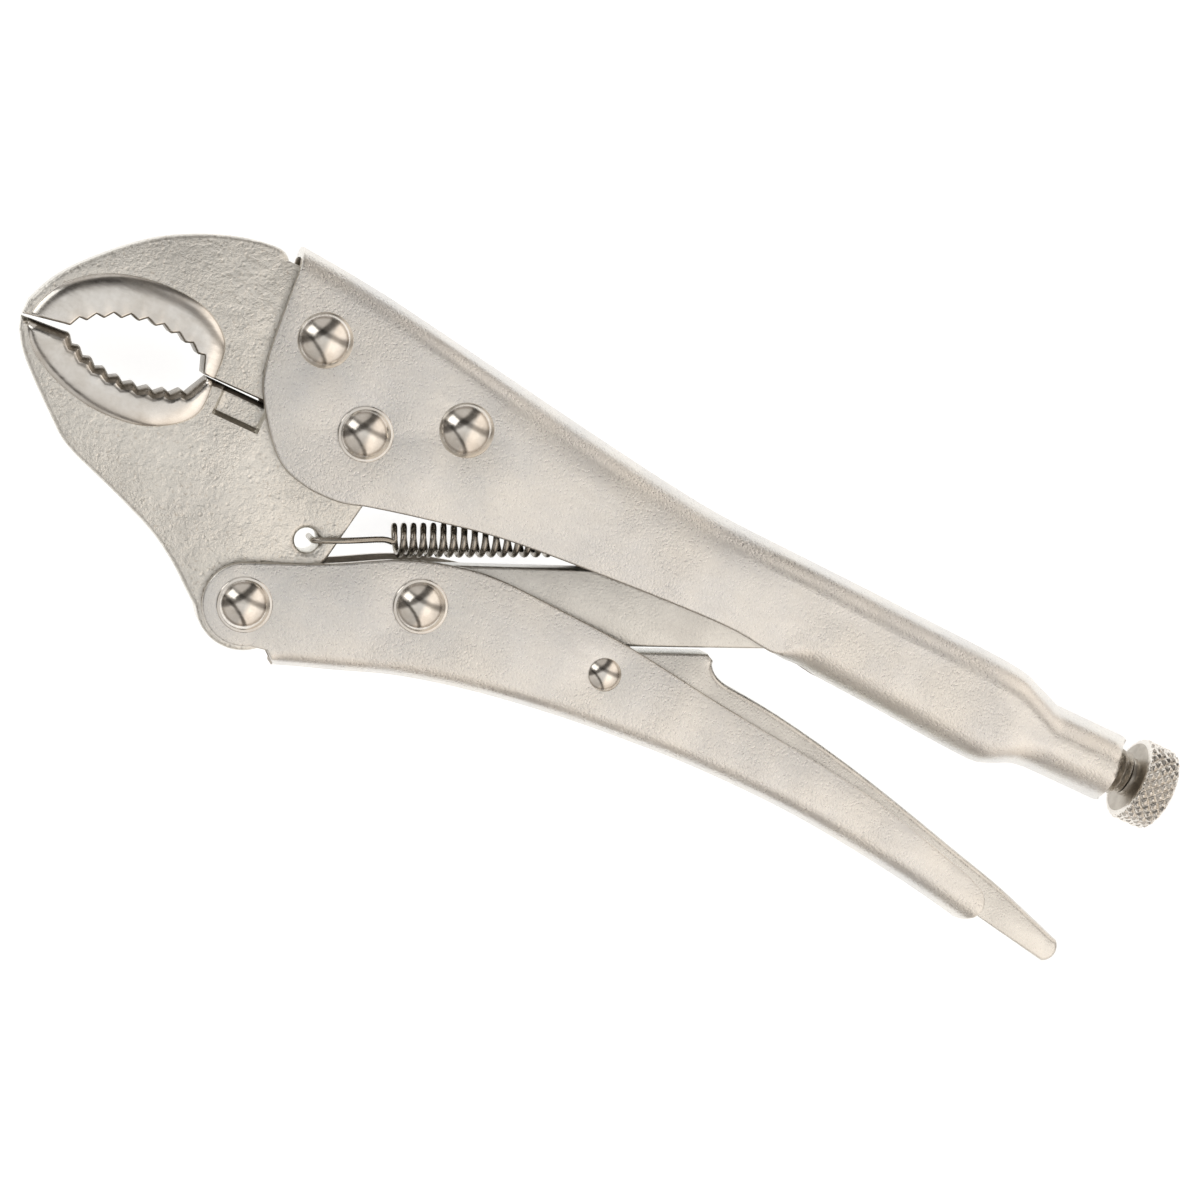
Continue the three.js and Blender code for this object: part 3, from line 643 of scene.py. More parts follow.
def fixed_jaw():
    relief = PIVOT_BOSS + 0.9
    rear = REAR_RIVET[0] + 7.5
    start = math.pi + math.asin(-PARTING / relief)

    def under(x):
        return float(upper_spine(x)) - SPINE_R

    teeth = toothed((MOUTH_FRONT, -5.2), (MOUTH_BACK, 0.6), 4.5)
    mouth = np.vstack([line((TIP_X, -6.7)), teeth])
    parting = np.vstack([line(teeth[-1], (-32.6, PARTING - 0.3), (-relief, PARTING))])
    back = np.vstack([arc(JAW_PIVOT, relief, start, 0.35, 0.1),
                      line((rear, REAR_RIVET[1] - 6.5), (rear, under(rear)), (-6, under(-6)),
                           (HANDLE_FRONT + 1.5, under(HANDLE_FRONT + 1.5)), (HANDLE_FRONT - 1.4, 23.6))])
    outer = spline([(HANDLE_FRONT - 1.4, 23.6), (-29.2, 25.0), (-36, 24.0), (-44, 21.0), (-52, 16.2),
                    (-60, 8.6), (-65, 2.2), (TIP_X, -3.7)])
    tip = line((TIP_X, -3.7), (TIP_X, -6.7))
    ring = Ring([(mouth, 0.5), (parting, 0.45), (back, 0.3), (outer, 0.9), (tip, 0.5)], 0.5)
    holes = [circle_hole(c, HOLE, RIVET_RIM) for c in (FRONT_RIVET, REAR_RIVET)]
    return slab("fixed_jaw_fine", [ring] + holes, JAW_HALF, ring_lines(), ring_lift)


CUTTER_START = -28.0
CUTTER_END = -18.4
CUTTER_DROP = 6.4
CUTTER_WALL = 0.7
CUTTER_FILLET = 1.2


def pocket_lift(x, y):
    """The sloped pocket beside the wire cutter."""
    along = np.minimum(x - CUTTER_START, CUTTER_END - x)
    across = y - (PARTING - CUTTER_DROP)
    depth = 1.7 - 0.16 * (y - (PARTING - CUTTER_DROP / 2))
    wall = np.clip(np.minimum(along / CUTTER_WALL, across / CUTTER_FILLET), 0, 1)
    return -depth * np.sin(wall * math.pi / 2)


def pocket_lines():
    high = PARTING + 0.5
    out = []
    for k in range(6):
        left, right = CUTTER_START + CUTTER_WALL * k / 5, CUTTER_END - CUTTER_WALL * k / 5
        low = PARTING - CUTTER_DROP + CUTTER_FILLET * k / 5
        out.append(resample(line((left, high), (left, low), (right, low), (right, high)), 0.5))
    return out


def lower_jaw():
    teeth = toothed((MOUTH_FRONT + 0.6, -6.6), (MOUTH_BACK, -7.4), -3.7)
    gap = PARTING - 0.6
    meet = math.sqrt(PIVOT_BOSS * PIVOT_BOSS - gap * gap)
    arm = 9.2
    corner = (-31.6, PARTING - 0.55)
    mouth = np.vstack([line((TIP_X, -7.2)), teeth, line(corner)])
    parting = line(corner, (-meet, gap))
    back = np.vstack([arc(JAW_PIVOT, PIVOT_BOSS, math.atan2(gap, -meet) + 2 * math.pi, -0.5, 0.1),
                      line((5.8, -12.8), (3.8, -24.5), (HANDLE_PIVOT[0] + arm, HANDLE_PIVOT[1] + 6)),
                      arc(HANDLE_PIVOT, arm, 0, -2.62, 0.07)])
    outer = spline([back[-1], (-17.6, -41.9), (-22.4, -38.0), (-28.8, -34.0), (-38.2, -30.1),
                    (-49.5, -25.9), (-54.9, -22.0), (-63.6, -14.2), (-66.8, -9.8)])
    tip = line((-66.8, -9.8), (TIP_X, -7.2))
    ring = Ring([(mouth, TOOTH_SLOPE), (parting, 1.5), (back, 0.7), (outer, 0.9), (tip, 0.5)], 0.5)
    holes = [circle_hole(c, HOLE, RIVET_RIM) for c in (JAW_PIVOT, HANDLE_PIVOT)]
    holes.append(circle_hole(SPRING_HOLE, 2.35, 1.0, 0.3))

    def lift(x, y):
        pocket = (x > CUTTER_START) & (x < CUTTER_END) & (y > PARTING - CUTTER_DROP)
        return ring_lift(x, y) + np.where(pocket, pocket_lift(x, y), 0)

    return slab("lower_jaw_fine", [ring] + holes, JAW_HALF, ring_lines() + pocket_lines(), lift)


# ---- Toggle link and release lever ----

LINK_TAIL = (88.5, 2.0)
LINK_ANGLE = math.atan2(LINK_TAIL[1] - LINK_PIVOT[1], LINK_TAIL[0] - LINK_PIVOT[0])


def toggle_link():
    up = LINK_ANGLE + math.pi / 2
    down = LINK_ANGLE - math.pi / 2
    loop = np.vstack([arc(LINK_PIVOT, LINK_HEAD_R, up, down + 2 * math.pi, 0.08),
                      arc(LINK_TAIL, LINK_TAIL_R, down, up, 0.08)])
    ring = Ring([(np.vstack([loop, loop[:1]]), 0.6)], 1.0)
    return slab("link_fine", [ring, circle_hole(LINK_PIVOT, HOLE, RIVET_RIM)], LINK_HALF)


def link_underside(x):
    middle = LINK_PIVOT[1] + (x - LINK_PIVOT[0]) * math.tan(LINK_ANGLE)
    return middle - LINK_HEAD_R / math.cos(LINK_ANGLE)


def release_lever():
    """The pressed lever: a hollow shell with a nose under the link and a tail past the handle."""
    skin = 1.3
    nose_x = 80.8
    nose = link_underside(nose_x) - 1.1
    tip = (along_grip(1.305), -36.3)
    pivot = arc(LEVER_PIVOT, 4.1, LINK_ANGLE + math.pi / 2, math.pi * 1.5, 0.15)
    xs = along_grip(np.arange(-0.1, 1.051, 0.05))
    floor = np.stack([xs, lower_spine(np.minimum(xs, 157)) + SHEET + 0.9], 1)
    end = arc(tip, 3.0, -1.3, 0.9, 0.15)
    shoulder = (nose_x + 7.6, -14.9)
    back = spline([end[-1], (along_grip(1.08), -28.9), (along_grip(0.89), -25.9), (along_grip(0.7), -22.9),
                   (along_grip(0.51), -20.1), (along_grip(0.32), -17.7), (along_grip(0.13), -15.8), shoulder])
    t = np.linspace(0, 1, 8)[:, None]
    a, b, c = np.array(shoulder), np.array([nose_x + 2.6, -14.6]), np.array([nose_x + 1.6, nose - 0.8])
    corner = (1 - t)**2 * a + 2 * t * (1 - t) * b + t**2 * c
    top = line(corner[-1], (nose_x, nose), pivot[0])
    under = np.vstack([pivot, floor])
    ring = Ring([(under, 0.25), (end, 0.9), (back, 1.2), (corner, 1.2), (top, 0.5)], 0.8)
    body = slab("lever_fine", [ring, circle_hole(LEVER_PIVOT, LEVER_HOLE, 0.1)], LEVER_HALF)
    shell = np.vstack([line((56, -60)), line((180, -60)), end + [0, -skin], back[1:] + [0, -skin],
                       corner[1:] + [0, -skin], line((nose_x, nose - skin), (56, pivot[0][1] - 3.2))])
    cut(body, prism("lever_hollow", shell, "z", -LEVER_INSIDE, LEVER_INSIDE))
    return body


# ---- Turned pieces ----

POLE = 0.03

def lathe(name, profile, centre, sides=72):
    """A turned piece about z through the centre, from [height, radius] points."""
    angle = np.arange(sides) / sides * 2 * math.pi
    rows = [np.stack([centre[0] + r * np.cos(angle), centre[1] + r * np.sin(angle), np.full(sides, h)], 1)
            for h, r in profile]
    return grid(name, rows)


def crown(seat, head, dome, flange, height, steps=16):
    """The profile of a rivet's head: a flange with a ball-shaped dome on it."""
    sphere = (dome * dome + height * height) / (2 * height)
    sweep = math.asin(min(1, dome / sphere))
    points = [(seat, head - 0.12), (seat + 0.1, head)]
    if flange:
        points += [(seat + flange - 0.12, head), (seat + flange - 0.02, head - 0.12)]
    for i in range(steps):
        a = sweep * (1 - i / steps)
        points.append((seat + flange + sphere * math.cos(a) - sphere + height, sphere * math.sin(a)))
    points.append((seat + flange + height, 0.02))
    return points


def rivet(name, centre, shank, head, dome, flange, height):
    seat = OUTSIDE + 0.03
    top = crown(seat, head, dome, flange, height)
    bottom = [(-h, r) for h, r in reversed(top)]
    return lathe(name, bottom + [(-seat, shank), (seat, shank)] + top, centre)


def along_x(name, stations, sides, radius):
    """A turned piece about the screw's axis. radius(x, angle, r) gives its relief."""
    angle = np.arange(sides) / sides * 2 * math.pi
    rows = []
    for x, r in stations:
        rr = radius(x, angle, r) if r > POLE else np.full(sides, r)
        rows.append(np.stack([np.full(sides, x), SCREW_Y + rr * np.cos(angle), rr * np.sin(angle)], 1))
    return grid(name, rows)


def adjusting_screw():
    """The threaded rod, with a spigot that goes into the knob."""
    tip = LINK_TAIL[0] + LINK_TAIL_R + 1.9
    end = KNOB_START - 1.3
    spigot_end = end + 4.5
    pitch, depth, flank = 1.5, 0.85, 0.85
    core = 4.4

    def thread(x, angle, r):
        if r <= core:
            return np.full(len(angle), r)
        phase = (x / pitch - angle / (2 * math.pi)) % 1
        groove = 1 - np.clip(np.abs(phase - 0.5) * 2 / flank - 0.05, 0, 1)
        return r - depth * groove

    xs = np.arange(tip + 1.5, end - 0.4, 0.125)
    stations = [(tip, POLE), (tip, 3.3), (tip + 0.4, 3.75), (tip + 1.3, core)]
    stations += [(x, SCREW_R) for x in xs] + [(end - 0.2, 4.3), (end, COLLAR_R)]
    stations += [(end, SPIGOT_R), (spigot_end, SPIGOT_R), (spigot_end, POLE)]
    return along_x("screw_fine", stations, 64, thread)


def screw_knob():
    """The knob with a diamond knurl, bored for the screw's spigot."""
    start = KNOB_START - 1.0
    end = KNOB_START + KNOB_LENGTH
    bore, bore_end = 3.1, start + 4.8
    count, pitch, depth, rows = 24, 2.3, 0.55, 64
    rng = np.random.default_rng(7)
    wobble = rng.uniform(-0.12, 0.12, rows)

    def knurl(x, angle, r):
        if r < KNOB_R - 1.2:
            return np.full(len(angle), r)
        a = angle / (2 * math.pi) * count + np.interp(angle, np.linspace(0, 2 * math.pi, rows), wobble)
        b = (x - KNOB_START) / pitch
        d1 = np.abs((a + b) % 1 - 0.5) * 2
        d2 = np.abs((a - b) % 1 - 0.5) * 2
        height = np.clip(1.5 * np.minimum(1 - d1, 1 - d2), 0, 1)
        near = min((x - KNOB_START) / 0.7, (end - x) / 1.1, 1.0)
        return r - depth * (1 - height) * max(near, 0.0)

    stations = [(bore_end, POLE), (bore_end, bore), (start, bore), (start, 4.0), (start + 0.15, COLLAR_R),
                (KNOB_START - 0.05, COLLAR_R), (KNOB_START, 4.3), (KNOB_START, KNOB_R - 1.3),
                (KNOB_START + 0.08, KNOB_R - 0.75), (KNOB_START + 0.3, KNOB_R - 0.3)]
    stations += [(x, KNOB_R) for x in np.arange(KNOB_START + 0.6, end - 1.1, 0.11)]
    stations += [(end - 1.0, KNOB_R - 0.02), (end - 0.6, KNOB_R - 0.35), (end - 0.25, KNOB_R - 0.9),
                 (end - 0.06, KNOB_R - 1.6), (end, KNOB_R - 2.2), (end, POLE)]
    return along_x("knob_fine", stations, count * 12, knurl)


# ---- Spring ----

SPRING_DIR = np.array([math.cos(math.radians(24.6)), math.sin(math.radians(24.6))])
COIL_START, COIL_LENGTH, COIL_TURNS, COIL_R, WIRE_R = 17.0, 42.0, 19.5, 2.85, 0.62
LEAD_END = 8.0


def spring_path():
    """The wire's middle line: through the hole, along to the coil, round it and onto the tongue."""
    across = np.array([-SPRING_DIR[1], SPRING_DIR[0]])
    face = JAW_HALF + WIRE_R + 0.12

    def place(along, side, z):
        p = np.array(SPRING_HOLE) + SPRING_DIR * along + across * side
        return (p[0], p[1], z)

    points = [place(1.2, 0, -face + 2.2), place(1.2, 0, 0), place(1.2, 0, face - 1.6),
              place(2.0, 0, face - 0.35), place(3.6, 0, face), place(LEAD_END, 0, face - 0.1),
              place(COIL_START - 2.2, 0, COIL_R + WIRE_R)]
    steps = 10
    for i in range(int(COIL_TURNS * steps) + 1):
        turn = i / steps
        angle = 2 * math.pi * turn
        share = turn / COIL_TURNS
        along = COIL_START + COIL_LENGTH * (0.86 * share + 0.14 * share * share)
        points.append(place(along, -0.5 + COIL_R * math.sin(angle), COIL_R * math.cos(angle)))
    rear = COIL_START + COIL_LENGTH
    points += [place(rear + 0.8, -2.6, -1.2), place(rear + 2.2, -0.5, 0.6), place(rear + 4.6, 1.2, 2.4),
               place(rear + 6.4, 2.0, 1.6), place(rear + 6.9, 2.2, 0), place(rear + 6.2, 1.9, -1.8),
               place(rear + 4.6, 1.3, -2.6)]
    return spline(points, 4)


def tension_spring():
    path = spring_path()
    tangent = np.gradient(path, axis=0)
    tangent /= np.linalg.norm(tangent, axis=1)[:, None]
    side = np.array([0.0, 1.0, 0.0])
    rows, sides = [], 10
    angle = np.arange(sides) / sides * 2 * math.pi
    for p, t in zip(path, tangent):
        side = side - t * np.dot(side, t)
        side /= np.linalg.norm(side)
        other = np.cross(t, side)
        rows.append(p + WIRE_R * (np.outer(np.cos(angle), side) + np.outer(np.sin(angle), other)))
    return grid("spring_fine", rows)


# ---- Materials ----


class Nodes:
    """A material's or a world's node tree, with short calls for the nodes used here."""

    def __init__(self, owner, coordinates="Object"):
        owner.use_nodes = True
        self.owner = owner
        self.tree = owner.node_tree
        self.place = self.add("TexCoord", coordinates)

    def put(self, socket, value):
        """Link a node's output to a socket, or set the socket to a number, vector or colour."""
        if isinstance(value, bpy.types.NodeSocket):
            self.tree.links.new(value, socket)
        else:
            socket.default_value = (*value, 1) if socket.type == "RGBA" else value

    def add(self, kind, output, inputs=None, **settings):
        """A new node's output, with the node's settings and inputs in place."""
        n = self.tree.nodes.new("ShaderNode" + kind)
        for key, value in settings.items():
            setattr(n, key, value)
        for key, value in (inputs or {}).items():
            self.put(n.inputs[key], value)
        return n.outputs[output]

    def noise(self, size, detail=3.0, rough=0.55, vector=None):
        """Noise whose features are about size millimetres across."""
        return self.add("TexNoise", "Fac", {"Scale": 1 / (size * MM), "Detail": detail, "Roughness": rough,
                                            "Vector": vector or self.place})

    def cells(self, size):
        return self.add("TexVoronoi", "Distance", {"Scale": 1 / (size * MM), "Vector": self.place})

    def stretched(self, scale):
        return self.add("Mapping", "Vector", {"Scale": scale, "Vector": self.place})

    def range(self, value, low, high, to_low=0.0, to_high=1.0):
        return self.add("MapRange", "Result", {"Value": value, "From Min": low, "From Max": high,
                                               "To Min": to_low, "To Max": to_high})

    def math(self, kind, a, b):
        return self.add("Math", 0, {0: a, 1: b}, operation=kind)

    def mix(self, factor, a, b, blend="MIX"):
        return self.add("Mix", 2, {"Factor": factor, 6: a, 7: b}, data_type="RGBA", blend_type=blend)

    def pointiness(self):
        return self.add("NewGeometry", "Pointiness")

    def bump(self, height, depth, below=None):
        inputs = {"Strength": 1.0, "Distance": depth * MM, "Height": height}
        if below is not None:
            inputs["Normal"] = below
        return self.add("Bump", "Normal", inputs)

    def finish(self, **sockets):
        """Set the surface shader's sockets, and return the material."""
        shader = self.tree.nodes["Principled BSDF"]
        for key, value in sockets.items():
            self.put(shader.inputs[key.replace("_", " ")], value)
        return self.owner


def plated(name, light, dark, rough, grain, depth, wear, pits=0.0, patch=14.0):
    """Satin nickel plate: fine sparkling grain, broad colour drift, bright worn edges."""
    m = Nodes(bpy.data.materials.new(name))
    fine = m.noise(grain, 2.0, 0.7)
    broad = m.noise(patch, 4.0, 0.6)
    colour = m.mix(m.range(broad, 0.35, 0.65), dark, light)
    speck = tuple(c * 0.72 for c in dark)
    colour = m.mix(m.range(fine, 0.30, 0.44, 0.55, 0.0), colour, speck)
    glint = tuple(min(c * 1.18, 1.0) for c in light)
    colour = m.mix(m.range(fine, 0.58, 0.72, 0.0, 0.6), colour, glint)
    edge = m.range(m.pointiness(), 0.515, 0.60, 0.0, wear)
    colour = m.mix(edge, colour, (0.93, 0.90, 0.85))
    scuff = m.noise(1.6, 5.0, 0.7, m.stretched((0.25, 1.0, 1.0)))
    roughness = m.math("ADD", m.range(fine, 0.3, 0.7, rough - 0.05, rough + 0.07),
                       m.range(scuff, 0.45, 0.75, 0.0, 0.07))
    patchy = m.math("MULTIPLY", fine, m.range(m.noise(22.0, 2.0), 0.42, 0.60, 0.6, 1.7))
    normal = m.bump(patchy, depth)
    if pits:
        hole = m.math("MULTIPLY", m.range(m.cells(1.5), 0.0, 0.3, 0.0, 1.0),
                      m.range(m.noise(2.3), 0.4, 0.6, 0.4, 1.0))
        normal = m.bump(hole, pits, normal)
        colour = m.mix(m.range(m.noise(0.9, 3.0, 0.6), 0.60, 0.70, 0.0, 0.4), colour, (0.50, 0.43, 0.35))
    return m.finish(Metallic=1.0, Base_Color=colour, Roughness=roughness, Normal=normal)


def polished(name, light, dark, rough, wave, depth):
    """Bright polished steel with faint waves, hairline marks and a little tarnish."""
    m = Nodes(bpy.data.materials.new(name))
    broad = m.noise(wave, 3.0, 0.6)
    hair = m.noise(0.5, 2.0, 0.6, m.stretched((0.12, 1.0, 1.0)))
    tarnish = m.noise(5.0, 5.0, 0.65)
    colour = m.mix(m.range(tarnish, 0.38, 0.66), dark, light)
    roughness = m.math("ADD", m.range(hair, 0.35, 0.7, rough, rough + 0.08),
                       m.range(tarnish, 0.4, 0.7, 0.08, 0.0))
    normal = m.bump(hair, depth * 0.12, m.bump(broad, depth))
    return m.finish(Metallic=1.0, Base_Color=colour, Roughness=roughness, Normal=normal)


def dull_and_painted_shade(name, light, dark, rough, grain, depth, metallic):
    """Darker unpolished steel: the wire's own colour, the teeth darker, and painted shade inside the
    channels, in the cutter fillet and along the parting.
    """
    m = Nodes(bpy.data.materials.new(name))
    fine = m.noise(grain, 4.0, 0.65)
    broad = m.noise(6.0, 4.0, 0.6)
    colour = m.mix(m.range(broad, 0.35, 0.65), dark, light)
    colour = m.mix(m.range(fine, 0.5, 0.75, 0.0, 0.5), colour, tuple(min(1.5 * c, 1) for c in light))
    edge = m.range(m.pointiness(), 0.52, 0.62, 0.0, 0.6)
    colour = m.mix(edge, colour, (0.72, 0.68, 0.62))
    roughness = m.range(fine, 0.3, 0.7, rough - 0.08, rough + 0.1)
    return m.finish(Metallic=metallic, Base_Color=colour, Roughness=roughness, Normal=m.bump(fine, depth))


SHEET_PLATE = plated("sheet_plate", (0.86, 0.838, 0.792), (0.765, 0.76, 0.745), 0.29, 0.45, 0.075, 0.55)
SHEET_CUT = plated("sheet_cut", (0.70, 0.665, 0.605), (0.46, 0.42, 0.36), 0.30, 0.6, 0.06, 0.8)
# Painted shade: the inner faces of the channels, the lever's hollow and the spring tongue, darkened where
# shadow falls.
SHEET_INSIDE_SHADE = dull_and_painted_shade("sheet_inside_painted_shade", (0.50, 0.45, 0.39), (0.30, 0.26, 0.22), 0.46, 0.5, 0.03, 1.0)
JAW_PLATE = plated("jaw_plate", (0.90, 0.885, 0.832), (0.78, 0.768, 0.724), 0.33, 0.5, 0.085, 0.5, 0.08)
JAW_RING = polished("jaw_ring", (0.90, 0.88, 0.84), (0.78, 0.745, 0.69), 0.11, 7.0, 0.06)
# The teeth's darker steel, also used as painted shade on the cutter pocket's lower fillet.
TOOTH_STEEL_AND_FILLET_SHADE = dull_and_painted_shade("tooth_steel_and_fillet_shade", (0.40, 0.365, 0.315), (0.23, 0.205, 0.17), 0.40, 0.45, 0.04, 1.0)
# Painted shade: the rounded edges along the jaws' parting, painted near black for the shadow in the gap.
PARTING_SHADE = dull_and_painted_shade("parting_painted_shade", (0.17, 0.145, 0.115), (0.09, 0.075, 0.06), 0.55, 0.5, 0.04, 1.0)
LINK_PLATE = plated("link_plate", (0.78, 0.775, 0.74), (0.66, 0.65, 0.62), 0.31, 0.5, 0.055, 0.6)
LEVER_PLATE = plated("lever_plate", (0.82, 0.81, 0.77), (0.70, 0.69, 0.66), 0.28, 0.42, 0.055, 0.6)
RIVET_BRIGHT = polished("rivet_bright", (0.90, 0.87, 0.82), (0.76, 0.72, 0.66), 0.07, 3.0, 0.03)
SCREW_STEEL = polished("screw_steel", (0.60, 0.56, 0.50), (0.40, 0.365, 0.315), 0.20, 2.0, 0.02)
# Painted shade: the knob's flat face and neck on the screw's side, darkened where they lie in shadow.
KNOB_FACE_SHADE = polished("knob_face_painted_shade", (0.58, 0.54, 0.48), (0.42, 0.385, 0.335), 0.26, 2.5, 0.03)
KNURL_STEEL = plated("knurl_steel", (0.86, 0.83, 0.78), (0.70, 0.66, 0.60), 0.20, 0.35, 0.012, 0.75)
WIRE_STEEL = dull_and_painted_shade("wire_steel", (0.46, 0.43, 0.38), (0.30, 0.275, 0.24), 0.26, 0.6, 0.01, 1.0)


# ---- Dressing the bodies ----


def faces_of(obj):
    """Each face's centre and normal, in drawing millimetres."""
    mesh = obj.data
    centre = np.empty(len(mesh.polygons) * 3)
    normal = np.empty(len(mesh.polygons) * 3)
    mesh.polygons.foreach_get("center", centre)
    mesh.polygons.foreach_get("normal", normal)
    return centre.reshape(-1, 3), normal.reshape(-1, 3)


def paint(obj, *materials, choose=None):
    obj.data.materials.clear()
    for m in materials:
        obj.data.materials.append(m)
    if choose is not None:
        obj.data.polygons.foreach_set("material_index", choose(*faces_of(obj)).astype(np.int32))


def settle(obj, name, body, node=None, sharp=32):
    """Name a piece, move it to the frame's metres, and say what it rides on and stands for."""
    obj.name = name
    obj.data.name = name
    obj.data.transform(Matrix.Translation(ORIGIN) @ Matrix.Scale(MM, 4))
    obj.data.shade_smooth()
    obj.data.set_sharp_from_angle(angle=math.radians(sharp))
    if body:
        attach(obj, body)
    if node:
        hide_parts(node)


def sheet_faces(centre, normal):
    """0 for the plated faces, 1 for those that look into the channel, painted dark as painted shade, 2 for
    the cut edges.
    """
    x, y, z = centre.T
    reach = np.abs(z)
    facing = (reach < INSIDE + 0.1) & (z * normal[:, 2] <= 0.01) & (reach > 0.3)
    bend = SHEET + 0.2
    spine = (y > -14) & (upper_spine(x) - y < bend)
    spine |= (y < -14.5) & (y - lower_spine(x) < bend)
    spine |= x > GRIP_START + 2
    cut = (np.abs(normal[:, 2]) < 0.75) & (reach > INSIDE + 0.05) & ~spine
    return np.where(facing, 1, np.where(cut, 2, 0))


def lever_faces(centre, normal):
    """0 for the plated faces, 1 for those that look into the hollow, painted dark as painted shade."""
    z = centre[:, 2]
    return ((np.abs(z) < LEVER_INSIDE + 0.05) & (z * normal[:, 2] <= 0.01) & (normal[:, 1] < 0.3)).astype(int)


def knob_faces(centre, normal):
    """0 for the knurled knob, 1 for its flat face and neck on the screw's side, painted darker as painted
    shade.
    """
    return (centre[:, 0] < KNOB_START + 0.02).astype(int)


def jaw_faces(centre, normal):
    """0 for the plated faces, 1 the polished rim, 2 the teeth and the cutter fillet (the fillet as painted
    shade), 3 the parting, painted near black as painted shade.
    """
    distance, _ = nearest(centre[:, :2], [RING_RIM])
    within = inside(centre[:, :2], [RING_RIM])
    steep = np.abs(normal[:, 2])
    x, y = centre[:, 0], centre[:, 1]
    teeth = within & (((distance > 1.6) & (steep < 0.93)) | (np.abs(centre[:, 2]) < JAW_HALF - 0.3))
    # The parting's rounded edges get the near-black painted shade.
    parting = (x > -33) & (x < -8) & (np.abs(y - PARTING) < 1.6) & (steep < 0.97) & ~within
    # The cutter pocket's lower fillet gets the darker steel as painted shade.
    fillet_shade = np.abs(y - (PARTING - CUTTER_DROP)) < CUTTER_FILLET + 0.1
    fillet_shade &= (x > CUTTER_START + 0.6) & (x < CUTTER_END - 0.6)
    fillet_shade &= (steep < 0.95) & ~within
    return np.where(parting, 3, np.where(teeth | fillet_shade, 2, np.where(within, 1, 0)))


JAW_METALS = (JAW_PLATE, JAW_RING, TOOTH_STEEL_AND_FILLET_SHADE, PARTING_SHADE)

plates = upper_handle()
paint(plates, SHEET_PLATE, SHEET_INSIDE_SHADE, SHEET_CUT, choose=sheet_faces)
settle(plates, "upper_handle_channel", "upper_handle", "upper_handle")
tab = spring_tab()
# The tongue is painted all over with the channel's painted shade.
paint(tab, SHEET_INSIDE_SHADE)
settle(tab, "upper_handle_spring_tab", "upper_handle")

jaw = fixed_jaw()
paint(jaw, *JAW_METALS, choose=jaw_faces)
settle(jaw, "fixed_jaw_forging", "upper_handle", "fixed_jaw")
jaw = lower_jaw()
paint(jaw, *JAW_METALS, choose=jaw_faces)
settle(jaw, "lower_jaw_forging", "lower_jaw", "lower_jaw")

plates = lower_handle()
paint(plates, SHEET_PLATE, SHEET_INSIDE_SHADE, SHEET_CUT, choose=sheet_faces)
settle(plates, "lower_handle_channel", "lower_handle", "lower_handle")
link = toggle_link()
paint(link, LINK_PLATE)
settle(link, "toggle_link_bar", "toggle_link", "toggle_link")
lever = release_lever()
paint(lever, LEVER_PLATE, SHEET_INSIDE_SHADE, choose=lever_faces)
settle(lever, "release_lever_pressing", "release_lever", "release_lever")

# Each head is its radius, its dome's radius, its flange's thickness and its dome's height.
FLANGED_HEAD = (5.35, 4.8, 0.45, 2.35)
ROUND_HEAD = (5.35, 5.35, 0.0, 2.8)
SMALL_HEAD = (3.3, 3.3, 0.0, 1.45)
for node, body, centre, shank, head in (
        ("jaw_pivot_rivet", "upper_handle", JAW_PIVOT, SHANK, FLANGED_HEAD),
        ("handle_pivot_rivet", "lower_handle", HANDLE_PIVOT, SHANK, FLANGED_HEAD),
        ("link_pivot_rivet", "lower_handle", LINK_PIVOT, SHANK, FLANGED_HEAD),
        ("fixed_jaw_rivet_front", "upper_handle", FRONT_RIVET, SHANK, ROUND_HEAD),
        ("fixed_jaw_rivet_rear", "upper_handle", REAR_RIVET, SHANK, ROUND_HEAD),
        ("release_lever_rivet", "lower_handle", LEVER_PIVOT, LEVER_SHANK, SMALL_HEAD)):
    fastener = rivet(node + "_fine", centre, shank, *head)
    paint(fastener, RIVET_BRIGHT)
    settle(fastener, node + "_domed", body, node)

screw = adjusting_screw()
paint(screw, SCREW_STEEL)
settle(screw, "adjusting_screw_threaded", "adjusting_screw", "adjusting_screw", 40)
knob = screw_knob()
paint(knob, KNURL_STEEL, KNOB_FACE_SHADE, choose=knob_faces)
settle(knob, "screw_knob_knurled", "screw_knob", "screw_knob", 40)
spring = tension_spring()
paint(spring, WIRE_STEEL)
settle(spring, "tension_spring_coil", None, "tension_spring", 60)


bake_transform(spring)


# ---- Floor, light and camera ----


def floor():
    """A plain white floor that glows a little, so that the ground reads as white."""
    size, steps = 1.6, 24
    xs = np.linspace(-size, size, steps)
    verts = [(x + ORIGIN.x, y + ORIGIN.y, 0.0) for y in xs for x in xs]
    faces = [(i * steps + j, i * steps + j + 1, (i + 1) * steps + j + 1, (i + 1) * steps + j)
             for i in range(steps - 1) for j in range(steps - 1)]
    mesh = bpy.data.meshes.new("floor")
    mesh.from_pydata(verts, [], faces)
    obj = bpy.data.objects.new("floor", mesh)
    bpy.context.collection.objects.link(obj)
    white = Nodes(bpy.data.materials.new("floor_white"))
    mesh.materials.append(white.finish(Base_Color=(0.5, 0.5, 0.5), Emission_Color=(1, 1, 1),
                                       Emission_Strength=0.82, Roughness=0.8))


floor()


